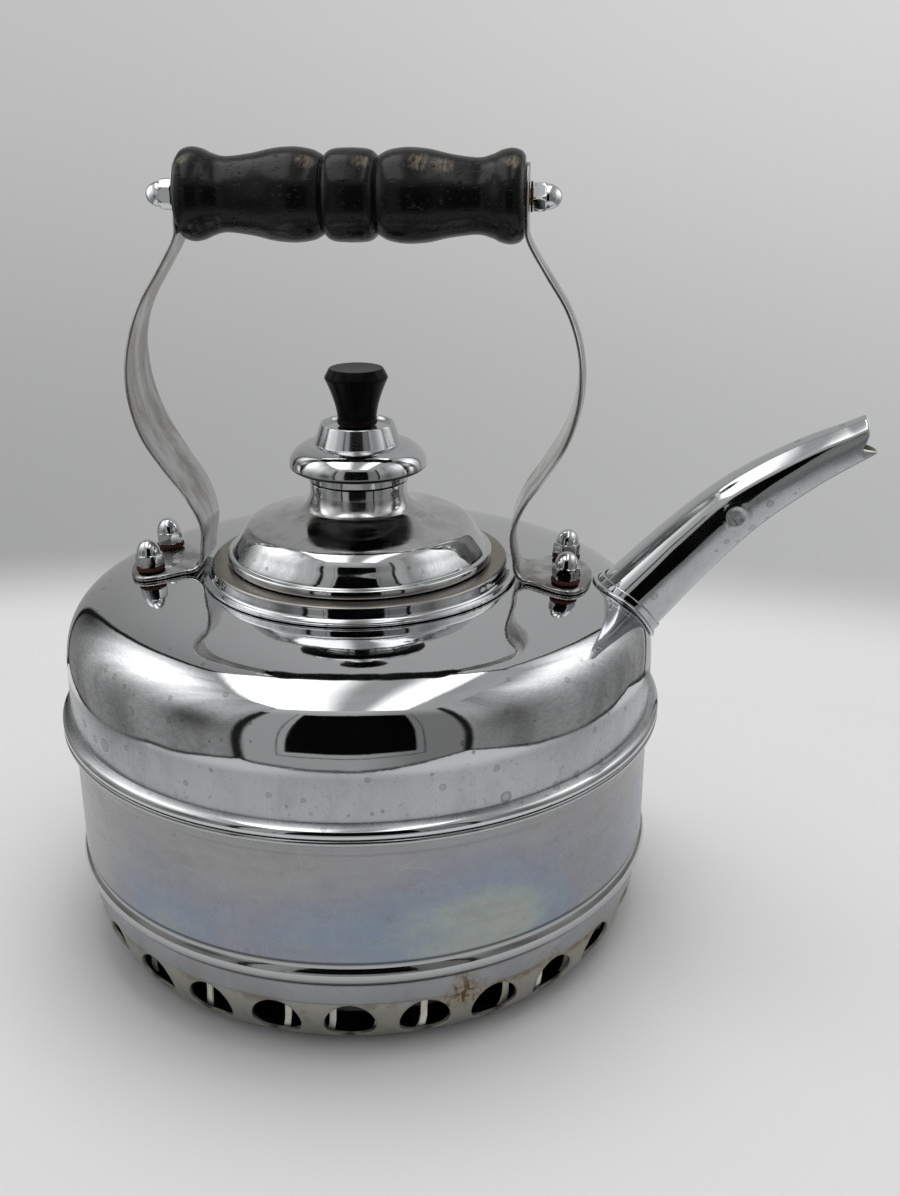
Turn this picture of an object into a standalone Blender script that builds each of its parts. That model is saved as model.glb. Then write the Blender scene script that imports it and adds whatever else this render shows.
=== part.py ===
"""A chrome-plated copper tea kettle with a lift-off lid, a turned grip and a perforated heat ring.

The Z axis is the axis of the pot, the spout points along +X, and the kettle stands on z = 0.
All lengths are metres. Pieces that touch keep a small clearance, so each one stays its own solid.
"""
import math

import bmesh
import bpy
from mathutils import Matrix, Vector

# Clearances
GAP = 0.0003                  # between two pieces that touch
OVERRUN = 0.002               # how far a cutter runs past what it cuts
WELD = 0.0000003              # points of a turned piece nearer than this become one
SMOOTH_ANGLE = math.radians(35)   # edges sharper than this stay crisp

# Round shapes: how many flats each kind of piece gets
POT_FLATS = 40
RING_FLATS = 39
LID_FLATS = 28
KNOB_FLATS = 18
SPOUT_FLATS = 18
GRIP_FLATS = 16
HOLE_FLATS = 10
SMALL_FLATS = 8
NUT_SIDES = 6

# Pot: two pressed halves that meet at a seam with a double bead
SHEET = 0.0010                # wall of the pressed sheet
POT_RADIUS = 0.0985           # outside of the lower wall; every other round size of the pot follows it
BEAD_PROUD = 0.0035           # double bead, beyond the lower wall
UPPER_STEP = 0.0003           # upper wall, beyond the lower wall
LOWER_DEPTH = 0.0515          # from the underside of the pot up to the seam
UPPER_WALL = 0.0129           # from the seam up to where the shoulder begins
SHOULDER_RISE = 0.0315
CROWN_SHARE = 0.5162          # the nearly flat crown, as a share of the upper wall's radius
SHOULDER_POWER = 3.6          # 2 would be an ellipse, more is squarer
SHOULDER_STEPS = 7
UPPER_HEM = 0.0025
LOWER_HEM = 0.0019
HEM_ROUND = 0.0006
SWAGE_DROP = 0.0039           # faint step that runs round just under the seam
SWAGE_PROUD = 0.0005
BASE_BEAD_PROUD = 0.0012      # rolled bead that holds the base, beyond the lower wall
BASE_BEAD_WIDTH = 0.0028
BASE_BEAD_HEIGHT = 0.0034
BEAD_STEPS = 5

# Base plate inside the lower bead
BASE_SHEET = 0.0012
BASE_FLANGE = 0.0063
BASE_ROUND = 0.0010

# Heat ring: the perforated skirt the kettle stands on
RING_HEIGHT = 0.0284
RING_SHEET = 0.0009
RING_INSET = 0.0014           # ring, inside the lower wall
RING_TOP_FLANGE = 0.0051
RING_CORNER = 0.0006
RING_BAND = 0.0078            # plain band above the crease
CREASE_STEP = 0.0005
RING_CURL = 0.0166            # how far the ring curls in to the flat lip that rests on the stove
REST_WIDTH = 0.0060
RING_POWER = 2.1
RING_STEPS = 5
HOLE_COUNT = 26
HOLE_RADIUS = 0.0079
HOLE_HEIGHT_SHARE = 0.544     # centre of a hole, as a share of the height of the crease
HOLE_TILT = math.radians(22)
FIRST_HOLE = math.radians(-85)

# Heat coil: one flat strip wound into a ring of turns
COIL_TURNS = 40
COIL_POINTS = 8
COIL_INSET = 0.0043           # its centre line, inside the outer edge of the ring's lip
STRIP_WIDTH = 0.0020
STRIP_THICK = 0.0008

# Mouth collar
COLLAR_SHEET = 0.0008
COLLAR_FOOT = 0.0032          # how far the foot flares out past the wall
COLLAR_FILLET = 0.0016
COLLAR_RISE = 0.0054
SEAT_WIDTH = 0.0082           # top of the collar, from its wall in to its bore
COLLAR_DEPTH = 0.0140         # from the seat down to the end of the bore
COLLAR_ROUND = 0.0010
ROUND_STEPS = 1

# Lid
LID_SHEET = 0.0008
LID_OVERLAP = 0.0030          # how far the lid's lip reaches out over its seat
LID_LIP_HEIGHT = 0.0029
LID_LIP_ROUND = 0.0008
DOME_INSET = 0.0017           # foot of the dome, inside the lip
DOME_FLAT = 0.0153
DOME_RISE = 0.0172            # from the lid's underside to its top
DOME_START = 0.0017
DOME_POWER = 2.1
DOME_STEPS = 5
DOME_LOW_ANGLE = 10           # degrees up the curve where the dome leaves its lip
PLUG_CLEARANCE = 0.0005
PLUG_DEPTH = 0.0103
PLUG_RISE = 0.0028
NECK_RADIUS = 0.0162
NECK_WALL = 0.0012
NECK_HEIGHT = 0.0094
NECK_ROUND = 0.0009
CAP_LIP_RADIUS = 0.0166
CAP_LIP_HEIGHT = 0.0024
CAP_RADIUS = 0.0227
CAP_UNDER = 0.0022
CAP_RISE = 0.0069
CAP_STEPS = 4
CAP_LOW_ANGLE = -60           # degrees down the curve where the bulge leaves the cap's lip
CAP_LOW_STEPS = 2
CONE_FOOT = 0.0144
CONE_TOP = 0.0119
CONE_HEIGHT = 0.0066
CONE_RIM = 0.0009
CONE_RECESS = 0.0012
KNOB_FOOT = 0.0065
KNOB_FOOT_HEIGHT = 0.0013
KNOB_WAIST = 0.0062
KNOB_RADIUS = 0.01028
KNOB_FLANK = 0.0150
KNOB_BEVEL = 0.0027
KNOB_TOP = 0.0086
KNOB_POWER = 1.7
KNOB_STEPS = 5
SCREW_RADIUS = 0.0024
SCREW_HEAD = 0.0050
SCREW_HEAD_HEIGHT = 0.0026
SCREW_GRIP = 0.0110           # how far the screw reaches into the knob
SCREW_WASHER = 0.0012

# Spout
SPOUT_SEAT_SHARE = 0.8574     # where its axis meets the shoulder, as a share of the shoulder's width
SPOUT_REACH = 0.0702
SPOUT_RISE = 0.0565
SPOUT_ROOT = 0.0121
SPOUT_MOUTH = 0.0064
SPOUT_WALL = 0.0010
SPOUT_TUCK = 0.0060           # how far the tube runs down inside the sleeve
SPOUT_STEPS = 3
# Centre line and radius, each row as shares of the reach, the rise and the taper
SPOUT_SHARES = ((0.0, 0.0, 0.0), (0.224, 0.308, 0.19), (0.466, 0.597, 0.40),
                (0.739, 0.829, 0.68), (1.0, 1.0, 1.0))
# Mouth seen from the side, as shares of the mouth's radius: along the axis and up from it
MOUTH_SHARES = ((0.33, 1.6), (0.33, 0.85), (0.10, 0.30), (-0.25, -0.08), (-0.50, -0.25),
                (0.20, -1.02), (0.34, -1.6), (2.6, -1.6), (2.6, 1.6))
MOUTH_SPARE_SHARE = 0.9       # tube past the end of the centre line, trimmed by the mouth cut
SLEEVE_WALL = 0.0005
SLEEVE_TUCK = 0.0080
SLEEVE_PROUD = 0.0032         # how far the sleeve stands above the shoulder all the way round
SADDLE_WIDTH = 0.0010         # bright ring round the sleeve, seated on the shoulder
SADDLE_THICK = 0.0009
DIMPLE_SHARE = 0.44           # place along the reach
DIMPLE_RADIUS = 0.0031
DIMPLE_DEPTH = 0.0006
DIMPLE_STEPS = 3

# Grip
GRIP_RISE = 0.1217            # its axis above the crown of the pot
GRIP_HALF = 0.0531
GRIP_RADIUS = 0.0142
# Half of its turned profile, as shares of the half length and of the radius
GRIP_SHARES = ((0.0, 0.986), (0.080, 0.972), (0.122, 0.93), (0.149, 0.845), (0.158, 0.803),
               (0.169, 0.845), (0.217, 0.937), (0.283, 0.986), (0.348, 1.0), (0.452, 0.965),
               (0.584, 0.859), (0.731, 0.796), (0.810, 0.859), (0.866, 0.951), (0.925, 0.993),
               (0.976, 0.944), (1.0, 0.845))

# Straps that carry the grip
STRAP_EDGE = 0.0010
STRAP_CROWN = 0.0016          # how far the middle stands above the edges at the widest place
STRAP_WIDE = 0.0148           # half width at the widest place
STRAP_CLEAR = 0.0013          # flat face of the strap outside the collar's wall, where it is nearest
BOW_OUT = 0.0206              # flat face, from there out to the farthest place
BOW_RISE = 0.0683             # height of that farthest place above the crown
STRAP_OVER = 0.0100           # strap above the grip's axis
# From the foot up to the bow, as shares: height, reach, half width, crown
LOWER_BOW_SHARES = ((0.104, 0.044, 0.62, 0.45), (0.253, 0.0, 0.757, 0.6), (0.403, 0.18, 0.90, 0.8),
                    (0.552, 0.505, 0.966, 1.0), (0.701, 0.791, 1.0, 1.0), (0.851, 0.951, 0.932, 1.0),
                    (1.0, 1.0, 0.824, 0.8))
# From the bow up to the grip
UPPER_BOW_SHARES = ((0.191, 0.933, 0.655, 0.6), (0.382, 0.726, 0.554, 0.4), (0.573, 0.369, 0.517, 0.3),
                    (0.764, 0.039, 0.517, 0.2), (0.882, 0.0, 0.517, 0.12))
# Rounded top end, as shares of the half width there: distance from the end, half width
TOP_END_SHARES = ((1.0, 1.0), (0.5, 0.866), (0.2, 0.6), (0.03, 0.243))
STRAP_STEPS = 2               # stations per row of those tables
SECTION_STEPS = 4
STRAP_POWER = 2               # how square the crowned face is across the strap

# Feet of the straps
FOOT_SHARE = 0.389            # centre of the oval foot, as a share of the shoulder's width
FOOT_WIDTH = 0.0182           # half width
FOOT_THICK = 0.0020
FOOT_ROUND = 0.0060           # bend from the strap into its foot
FOOT_EDGE_SHARE = 0.62        # thickness at the rim of the foot
FOOT_POWER = 8
BEND_POWER = 4
BEND_SHARES = (0.3, 0.6)      # stations round the bend
# Outline from the bend to the oval's end, as shares: place, half width
FOOT_IN_SHARES = ((0.0, 0.60), (0.2, 0.70), (0.45, 0.84), (0.72, 0.95), (1.0, 1.0))
FOOT_OUT_SHARES = ((0.4, 0.917), (0.7, 0.714), (0.9, 0.436), (0.99, 0.141))
BOLT_SPREAD = 0.0117
BOLT_INSET = 0.0007

# Fasteners
FOOT_LABELS = ("front_far", "front_near", "rear_far", "rear_near")
BOLT_RADIUS = 0.0024
BOLT_HEAD = 0.0048
BOLT_HEAD_HEIGHT = 0.0022
NUT_FLAT = 0.0082             # across flats
NUT_HEX = 0.0040
NUT_HEIGHT = 0.0086
NUT_DOME = 0.0039
NUT_STEPS = 3
NUT_BORE_DEPTH = 0.0056
SEAL_RADIUS = 0.0055
SEAL_THICK = 0.0010
FIBRE_RADIUS = 0.00475
FIBRE_THICK = 0.0012
GRIP_WASHER_RADIUS = 0.0046
GRIP_WASHER_THICK = 0.0006

# Heights and radii that follow from the sizes above
BEAD_RADIUS = POT_RADIUS + BEAD_PROUD
UPPER_RADIUS = POT_RADIUS + UPPER_STEP
BASE_BEAD_RADIUS = POT_RADIUS + BASE_BEAD_PROUD
CROWN_RADIUS = CROWN_SHARE * UPPER_RADIUS
SHOULDER_WIDTH = UPPER_RADIUS - CROWN_RADIUS
RING_RADIUS = POT_RADIUS - RING_INSET
REST_OUTER = RING_RADIUS - RING_CURL
CREASE_HEIGHT = RING_HEIGHT - RING_BAND
COIL_CENTRE = REST_OUTER - COIL_INSET
COLLAR_RADIUS = CROWN_RADIUS - COLLAR_FILLET
COLLAR_BORE = COLLAR_RADIUS - SEAT_WIDTH
LID_LIP_RADIUS = COLLAR_BORE + LID_OVERLAP
DOME_RADIUS = LID_LIP_RADIUS - DOME_INSET
POT_FLOOR = RING_HEIGHT + GAP
SEAM = POT_FLOOR + LOWER_DEPTH
SPRING = SEAM + UPPER_WALL
CROWN = SPRING + SHOULDER_RISE
SEAT = CROWN + COLLAR_RISE
MOUTH_HOLE = COLLAR_BORE + COLLAR_SHEET + GAP
BOLT_HOLE = BOLT_RADIUS + GAP
SCREW_HOLE = SCREW_RADIUS + GAP
SLEEVE_BORE = SPOUT_ROOT + GAP
SLEEVE_RADIUS = SLEEVE_BORE + SLEEVE_WALL
SPOUT_HOLE = SLEEVE_RADIUS + GAP
GRIP_AXIS = CROWN + GRIP_RISE
FOOT_CENTRE = CROWN_RADIUS + FOOT_SHARE * SHOULDER_WIDTH
SPOUT_SEAT = CROWN_RADIUS + SPOUT_SEAT_SHARE * SHOULDER_WIDTH
FOOT_LENGTH = SPOUT_SEAT - SPOUT_HOLE - SADDLE_WIDTH - FOOT_CENTRE   # oval end, just short of the saddle
BOLT_REACH = FOOT_CENTRE - BOLT_INSET
STRAP_NECK = COLLAR_RADIUS + STRAP_CLEAR
STRAP_BOW = STRAP_NECK + BOW_OUT
STRAP_TOP = GRIP_HALF + GAP   # flat face of the strap beside the grip


def crown_height(radius):
    """Height of the pot's outer surface at a distance from the axis."""
    if radius <= CROWN_RADIUS:
        return CROWN
    across = min(1, (radius - CROWN_RADIUS) / SHOULDER_WIDTH)
    return SPRING + SHOULDER_RISE * (1 - across ** SHOULDER_POWER) ** (1 / SHOULDER_POWER)


def curve(centre, size, start, end, steps, power=2):
    """Points on a quarter or more of an ellipse, or a squarer one, between two angles in degrees."""
    points = []
    for i in range(steps + 1):
        angle = math.radians(start + (end - start) * i / steps)
        c, s = math.cos(angle), math.sin(angle)
        across = math.copysign(abs(c) ** (2 / power), c)
        up = math.copysign(abs(s) ** (2 / power), s)
        points.append((centre[0] + size[0] * across, centre[1] + size[1] * up))
    return points


def offset(path, distance):
    """The same path moved sideways, to its left when the distance is positive."""
    moved = []
    for i, point in enumerate(path):
        here = Vector(point)
        before = here - Vector(path[i - 1]) if i else Vector(path[1]) - here
        after = Vector(path[i + 1]) - here if i + 1 < len(path) else before
        normals = [Vector((-d.y, d.x)).normalized() for d in (before, after)]
        middle = (normals[0] + normals[1]).normalized()
        moved.append(tuple(here + middle * (distance / middle.dot(normals[0]))))
    return moved


def sheet(path, wall):
    """Closed section of a sheet whose outer side is the path and whose wall lies to its left."""
    return path + offset(path, wall)[::-1]


def smooth_through(rows, parts):
    """Catmull-Rom curve through rows of numbers, with some parts per interval."""
    padded = [2 * Vector(rows[0]) - Vector(rows[1])] + [Vector(r) for r in rows]
    padded.append(2 * padded[-1] - padded[-2])
    points = []
    for i in range(1, len(rows)):
        a, b, c, d = padded[i - 1:i + 3]
        for j in range(parts):
            t = j / parts
            points.append(((2 * b) + (c - a) * t + (2 * a - 5 * b + 4 * c - d) * t ** 2
                           + (3 * b - a - 3 * c + d) * t ** 3) / 2)
    return points + [padded[-2]]


def clear_scene():
    for old in list(bpy.data.objects):
        bpy.data.objects.remove(old, do_unlink=True)


def finish(name, colour, roughness, metallic):
    material = bpy.data.materials.new(name)
    material.use_nodes = True
    shader = material.node_tree.nodes["Principled BSDF"]
    shader.inputs["Base Color"].default_value = (*colour, 1)
    shader.inputs["Roughness"].default_value = roughness
    shader.inputs["Metallic"].default_value = metallic
    return material


def make_object(name, mesh_builder, material=None, frame=Matrix(), parent=None):
    """Object from a filled bmesh, with its normals outwards and its round faces smooth."""
    bmesh.ops.recalc_face_normals(mesh_builder, faces=mesh_builder.faces)
    mesh = bpy.data.meshes.new(name)
    mesh_builder.to_mesh(mesh)
    mesh_builder.free()
    mesh.shade_smooth()
    mesh.set_sharp_from_angle(angle=SMOOTH_ANGLE)
    thing = bpy.data.objects.new(name, mesh)
    bpy.context.collection.objects.link(thing)
    thing.matrix_world = frame
    thing.parent = parent
    if material:
        mesh.materials.append(material)
    return thing


def spin_section(builder, section, flats, frame=Matrix()):
    """Revolve a closed section of (radius, height) points about Z and add it to a bmesh."""
    points = [builder.verts.new((r, 0, z)) for r, z in section]
    edges = [builder.edges.new((a, b)) for a, b in zip(points, points[1:] + points[:1])]
    bmesh.ops.spin(builder, geom=points + edges, cent=(0, 0, 0), axis=(0, 0, 1),
                   angle=math.tau, steps=flats, use_merge=True)
    bmesh.ops.remove_doubles(builder, verts=builder.verts[:], dist=WELD)
    bmesh.ops.transform(builder, matrix=frame, verts=builder.verts[:])


def turned(name, section, flats, material=None, frame=Matrix(), parent=None):
    """A piece turned about the Z axis of its frame."""
    builder = bmesh.new()
    spin_section(builder, section, flats)
    return make_object(name, builder, material, frame, parent)


def drill_set(name, solids):
    """One cutter from several separate turned solids, each a (section, flats, frame) row."""
    whole = bmesh.new()
    for section, flats, frame in solids:
        part = bmesh.new()
        spin_section(part, section, flats, frame)
        mesh = bpy.data.meshes.new(name)
        part.to_mesh(mesh)
        part.free()
        whole.from_mesh(mesh)
        bpy.data.meshes.remove(mesh)
    return make_object(name, whole)


def rod(radius, low, high):
    """Section of a plain round bar."""
    return [(0, low), (radius, low), (radius, high), (0, high)]


def tube(bore, radius, low, high):
    """Section of a plain ring or washer."""
    return [(bore, low), (radius, low), (radius, high), (bore, high)]


def cut(thing, cutter, operation="DIFFERENCE"):
    """Boolean of one object with another, which is then kept only as a wire guide."""
    step = thing.modifiers.new(cutter.name, "BOOLEAN")
    step.operation = operation
    step.solver = "EXACT"
    step.object = cutter
    cutter.hide_render = True
    cutter.display_type = "WIRE"


def axis_frame(origin, direction):
    """Frame at a point whose Z axis points in a direction."""
    return Matrix.Translation(origin) @ Vector(direction).to_track_quat("Z", "Y").to_matrix().to_4x4()


def spout_seat():
    """Point where the spout's axis meets the shoulder."""
    return Vector((SPOUT_SEAT, 0, crown_height(SPOUT_SEAT)))


def spout_rows():
    """Centre line and radius of the spout, from the shoulder to the mouth."""
    seat = spout_seat()
    rows = []
    for along, up, taper in SPOUT_SHARES:
        radius = SPOUT_ROOT + (SPOUT_MOUTH - SPOUT_ROOT) * taper
        rows.append((seat.x + SPOUT_REACH * along, seat.z + SPOUT_RISE * up, radius))
    return smooth_through(rows, SPOUT_STEPS)


def spout_frame():
    """Frame at the spout's seat, with Z along its straight root."""
    rows = spout_rows()
    return axis_frame(spout_seat(), (rows[1][0] - rows[0][0], 0, rows[1][1] - rows[0][1]))


def mouth_frame():
    """Frame at the spout's mouth, with Z along the end of its centre line."""
    rows = spout_rows()
    direction = (rows[-1][0] - rows[-2][0], 0, rows[-1][1] - rows[-2][1])
    return axis_frame((rows[-1][0], 0, rows[-1][1]), direction)


def bolt_circle():
    """Distance of the foot bolts from the axis, and the slope of the shoulder there."""
    radius = math.hypot(BOLT_REACH, BOLT_SPREAD)
    fall = crown_height(radius - BOLT_RADIUS) - crown_height(radius + BOLT_RADIUS)
    return radius, fall / (2 * BOLT_RADIUS)


def shoulder_sag(reach):
    """How far the shoulder drops, at a distance outside a bolt, below the plane square to the bolt."""
    radius, fall = bolt_circle()
    return crown_height(radius) - fall * reach - crown_height(radius + reach)


def bolt_frames():
    """Frames of the four foot bolts: on the shoulder, with Z square to it."""
    radius, fall = bolt_circle()
    frames = []
    for side in (1, -1):
        for hand in (1, -1):
            outward = Vector((side * BOLT_REACH, hand * BOLT_SPREAD, 0)) / radius
            origin = outward * radius + Vector((0, 0, crown_height(radius)))
            frames.append(axis_frame(origin, outward * fall + Vector((0, 0, 1))))
    return frames


def shoulder_path():
    """Outer side of the upper half, from the top of its hem to the mouth hole."""
    size = (SHOULDER_WIDTH, SHOULDER_RISE)
    wall = [(UPPER_RADIUS, SEAM + GAP + UPPER_HEM)]
    shoulder = curve((CROWN_RADIUS, SPRING), size, 0, 90, SHOULDER_STEPS, SHOULDER_POWER)
    return wall + shoulder + [(MOUTH_HOLE, CROWN)]


def upper_body(chrome, parent):
    hem_low = SEAM + GAP
    hem_high = hem_low + UPPER_HEM
    inside = UPPER_RADIUS - SHEET
    hem = [(inside, hem_low), (BEAD_RADIUS - HEM_ROUND, hem_low), (BEAD_RADIUS, hem_low + HEM_ROUND),
           (BEAD_RADIUS, hem_high - HEM_ROUND), (BEAD_RADIUS - HEM_ROUND, hem_high)]
    body = turned("upper_body", hem + sheet(shoulder_path(), SHEET)[:-1], POT_FLATS, chrome, parent=parent)
    bolts = [(rod(BOLT_HOLE, -SHEET - OVERRUN, OVERRUN), SMALL_FLATS, f) for f in bolt_frames()]
    reach = SLEEVE_TUCK + OVERRUN
    spout_drill = (rod(SPOUT_HOLE, -reach, reach), KNOB_FLATS, spout_frame())
    cut(body, drill_set("shoulder_holes", bolts + [spout_drill]))
    return body


def lower_body(chrome, parent):
    """Lower half: hem under the seam, a faint swage, a straight wall and the rolled base bead."""
    inside = POT_RADIUS - SHEET
    low = SEAM - LOWER_HEM
    proud = POT_RADIUS + SWAGE_PROUD
    swage = low - SWAGE_DROP
    centre = BASE_BEAD_RADIUS - BASE_BEAD_WIDTH
    start = math.degrees(math.acos((POT_RADIUS - centre) / BASE_BEAD_WIDTH))
    end = -math.degrees(math.acos((inside - centre) / BASE_BEAD_WIDTH))
    bead = curve((centre, POT_FLOOR + BASE_BEAD_HEIGHT), (BASE_BEAD_WIDTH, BASE_BEAD_HEIGHT), start, end,
                 BEAD_STEPS)
    hem = [(inside, SEAM), (BEAD_RADIUS - HEM_ROUND, SEAM), (BEAD_RADIUS, SEAM - HEM_ROUND),
           (BEAD_RADIUS, low + HEM_ROUND), (BEAD_RADIUS - HEM_ROUND, low), (proud, low)]
    section = hem + [(proud, swage), (POT_RADIUS, swage - SWAGE_PROUD)] + bead
    return turned("lower_body", section, POT_FLATS, chrome, parent=parent)


def base_plate(copper, parent):
    """Flat bottom with an upturned flange that the lower wall is rolled round."""
    edge = POT_RADIUS - SHEET - GAP
    top = POT_FLOOR + BASE_FLANGE
    outer = [(0, POT_FLOOR), (edge - BASE_ROUND, POT_FLOOR), (edge, POT_FLOOR + BASE_ROUND), (edge, top)]
    return turned("base_plate", sheet(outer, BASE_SHEET), POT_FLATS, copper, parent=parent)


def ring_path():
    """Outer side of the heat ring, from its top flange down to the lip it rests on."""
    top = RING_RADIUS - RING_CORNER
    curl_radius = RING_RADIUS - CREASE_STEP
    band = [(RING_RADIUS - RING_TOP_FLANGE, RING_HEIGHT), (top, RING_HEIGHT),
            (RING_RADIUS, RING_HEIGHT - RING_CORNER), (RING_RADIUS, CREASE_HEIGHT + CREASE_STEP)]
    curl = curve((REST_OUTER, CREASE_HEIGHT), (curl_radius - REST_OUTER, CREASE_HEIGHT),
                 0, -90, RING_STEPS, RING_POWER)
    return band + curl + [(REST_OUTER - REST_WIDTH, 0)]


def heat_ring(steel, parent):
    ring = turned("heat_ring", sheet(ring_path(), -RING_SHEET), RING_FLATS, steel, parent=parent)
    drills = []
    reach = RING_CURL / 2
    height = HOLE_HEIGHT_SHARE * CREASE_HEIGHT
    for i in range(HOLE_COUNT):
        turn = FIRST_HOLE + math.tau * i / HOLE_COUNT
        outward = Vector((math.cos(turn), math.sin(turn), -math.tan(HOLE_TILT)))
        middle = Vector((math.cos(turn), math.sin(turn), 0)) * RING_RADIUS + Vector((0, 0, height))
        drills.append((rod(HOLE_RADIUS, -reach, reach), HOLE_FLATS, axis_frame(middle, outward)))
    cut(ring, drill_set("ring_drills", drills))
    return ring


def coil_radius():
    """The coil fills the height between the ring's lip and the base plate."""
    return (POT_FLOOR - GAP - RING_SHEET - GAP) / 2


def coil_stations():
    """Corner points of the strip all the way round, a row of four for each step."""
    middle = coil_radius() - STRIP_THICK / 2
    height = RING_SHEET + GAP + coil_radius()
    count = COIL_TURNS * COIL_POINTS

    def place(step):
        turn = math.tau * step / count
        wind = math.tau * step / COIL_POINTS
        outward = Vector((math.cos(turn), math.sin(turn), 0))
        normal = outward * math.cos(wind) + Vector((0, 0, math.sin(wind)))
        return outward * COIL_CENTRE + Vector((0, 0, height)) + normal * middle, normal

    rows = []
    for step in range(count):
        point, normal = place(step)
        along = (place(step + 1)[0] - place(step - 1)[0]).normalized()
        side = along.cross(normal).normalized() * (STRIP_WIDTH / 2)
        thick = normal * (STRIP_THICK / 2)
        rows.append([point + side + thick, point - side + thick, point - side - thick, point + side - thick])
    return rows


def heat_coil(strip, parent):
    """One flat strip wound all the way round and joined to its own start."""
    rows = coil_stations()
    builder = bmesh.new()
    rings = [[builder.verts.new(corner) for corner in row] for row in rows]
    for here, there in zip(rings, rings[1:] + rings[:1]):
        for a in range(4):
            b = (a + 1) % 4
            builder.faces.new((here[a], here[b], there[b], there[a]))
    nearest = min((a - b).length for i, row in enumerate(rows)
                  for other in rows[i + COIL_POINTS - 2:i + COIL_POINTS + 3] for a in row for b in other)
    print(f"heat coil: {COIL_TURNS} turns, least gap between turns {nearest * 1000:.2f} mm")
    return make_object("heat_coil", builder, strip, parent=parent)


def mouth_collar(chrome, parent):
    """Pressed collar: a flared foot, a short wall, the lid's seat and the bore the plug drops into."""
    foot = CROWN + GAP + COLLAR_SHEET
    outer = [(COLLAR_RADIUS + COLLAR_FOOT, foot), (COLLAR_RADIUS + COLLAR_FILLET, foot),
             (COLLAR_RADIUS, foot + COLLAR_FILLET)]
    size = (COLLAR_ROUND, COLLAR_ROUND)
    rim = curve((COLLAR_RADIUS - COLLAR_ROUND, SEAT - COLLAR_ROUND), size, 0, 90, ROUND_STEPS)
    seat_edge = curve((COLLAR_BORE + COLLAR_ROUND, SEAT - COLLAR_ROUND), size, 90, 180, ROUND_STEPS)
    bore = [(COLLAR_BORE, SEAT - COLLAR_DEPTH)]
    return turned("mouth_collar", sheet(outer + rim + seat_edge + bore, COLLAR_SHEET), LID_FLATS, chrome,
                  parent=parent)


def dome_path():
    """Outer side of the lid's dome above the seat, from its lip to the screw hole."""
    size = (DOME_RADIUS - DOME_FLAT, DOME_RISE - DOME_START)
    rise = curve((DOME_FLAT, DOME_START), size, DOME_LOW_ANGLE, 90, DOME_STEPS, DOME_POWER)
    return rise + [(SCREW_HOLE, DOME_RISE)]


def lid_dome(chrome, parent):
    inside = COLLAR_BORE - PLUG_CLEARANCE + GAP
    lip = [(inside, 0), (LID_LIP_RADIUS - LID_LIP_ROUND, 0), (LID_LIP_RADIUS, LID_LIP_ROUND),
           (LID_LIP_RADIUS, LID_LIP_HEIGHT - LID_LIP_ROUND), (LID_LIP_RADIUS - LID_LIP_ROUND, LID_LIP_HEIGHT)]
    under = offset(dome_path(), LID_SHEET)[::-1]
    return turned("lid_dome", lip + dome_path() + under + [(inside, under[-1][1])], LID_FLATS, chrome,
                  parent=parent)


def plug_ring(chrome, parent):
    """Ring under the dome that drops into the collar's bore."""
    outer = COLLAR_BORE - PLUG_CLEARANCE
    return turned("lid_plug_ring", tube(outer - LID_SHEET, outer, -PLUG_DEPTH, PLUG_RISE), LID_FLATS, chrome,
                  parent=parent)


def lid_neck(chrome, parent):
    low = DOME_RISE + GAP
    inside = NECK_RADIUS - NECK_WALL
    section = [(inside, low), (NECK_RADIUS - NECK_ROUND, low), (NECK_RADIUS, low + NECK_ROUND),
               (NECK_RADIUS, low + NECK_HEIGHT), (inside, low + NECK_HEIGHT)]
    return turned("lid_neck", section, KNOB_FLATS, chrome, parent=parent)


def cap_floor():
    """Underside of the cap above the lid's seat."""
    return DOME_RISE + GAP + NECK_HEIGHT + GAP


def cap_top():
    """Recessed top of the cap, where the knob stands."""
    return cap_floor() + CAP_LIP_HEIGHT + CAP_UNDER + CAP_RISE + CONE_HEIGHT - CONE_RECESS


def lid_cap(chrome, parent):
    """Hollow cap: a lip, a round bulge, and a short cone with a recessed top."""
    low = cap_floor()
    lip = low + CAP_LIP_HEIGHT
    wide = lip + CAP_UNDER
    foot = wide + CAP_RISE
    top = foot + CONE_HEIGHT
    outer = [(SCREW_HOLE, low), (CAP_LIP_RADIUS, low), (CAP_LIP_RADIUS, lip)]
    outer += curve((CAP_LIP_RADIUS, wide), (CAP_RADIUS - CAP_LIP_RADIUS, CAP_UNDER), CAP_LOW_ANGLE, 0,
                   CAP_LOW_STEPS)
    outer += curve((CONE_FOOT, wide), (CAP_RADIUS - CONE_FOOT, CAP_RISE), 0, 90, CAP_STEPS)[1:]
    outer += [(CONE_TOP, top), (CONE_TOP - CONE_RIM, top), (CONE_TOP - 2 * CONE_RIM, cap_top()),
              (SCREW_HOLE, cap_top())]
    return turned("lid_cap", sheet(outer, LID_SHEET), KNOB_FLATS, chrome, parent=parent)


def lid_knob(black, parent):
    """Solid moulded knob that flares out from a small foot, with a blind hole for the screw."""
    low = cap_top() + GAP
    waist = low + KNOB_FOOT_HEIGHT
    outer = [(SCREW_HOLE, low), (KNOB_FOOT, low), (KNOB_FOOT, low + KNOB_FOOT_HEIGHT / 2)]
    for i in range(KNOB_STEPS + 1):
        share = i / KNOB_STEPS
        outer.append((KNOB_WAIST + (KNOB_RADIUS - KNOB_WAIST) * share ** KNOB_POWER, waist + KNOB_FLANK * share))
    top = waist + KNOB_FLANK + KNOB_BEVEL
    hole = low + SCREW_GRIP + GAP
    section = outer + [(KNOB_TOP, top), (0, top), (0, hole), (SCREW_HOLE, hole)]
    return turned("lid_knob", section, KNOB_FLATS, black, parent=parent)


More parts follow.
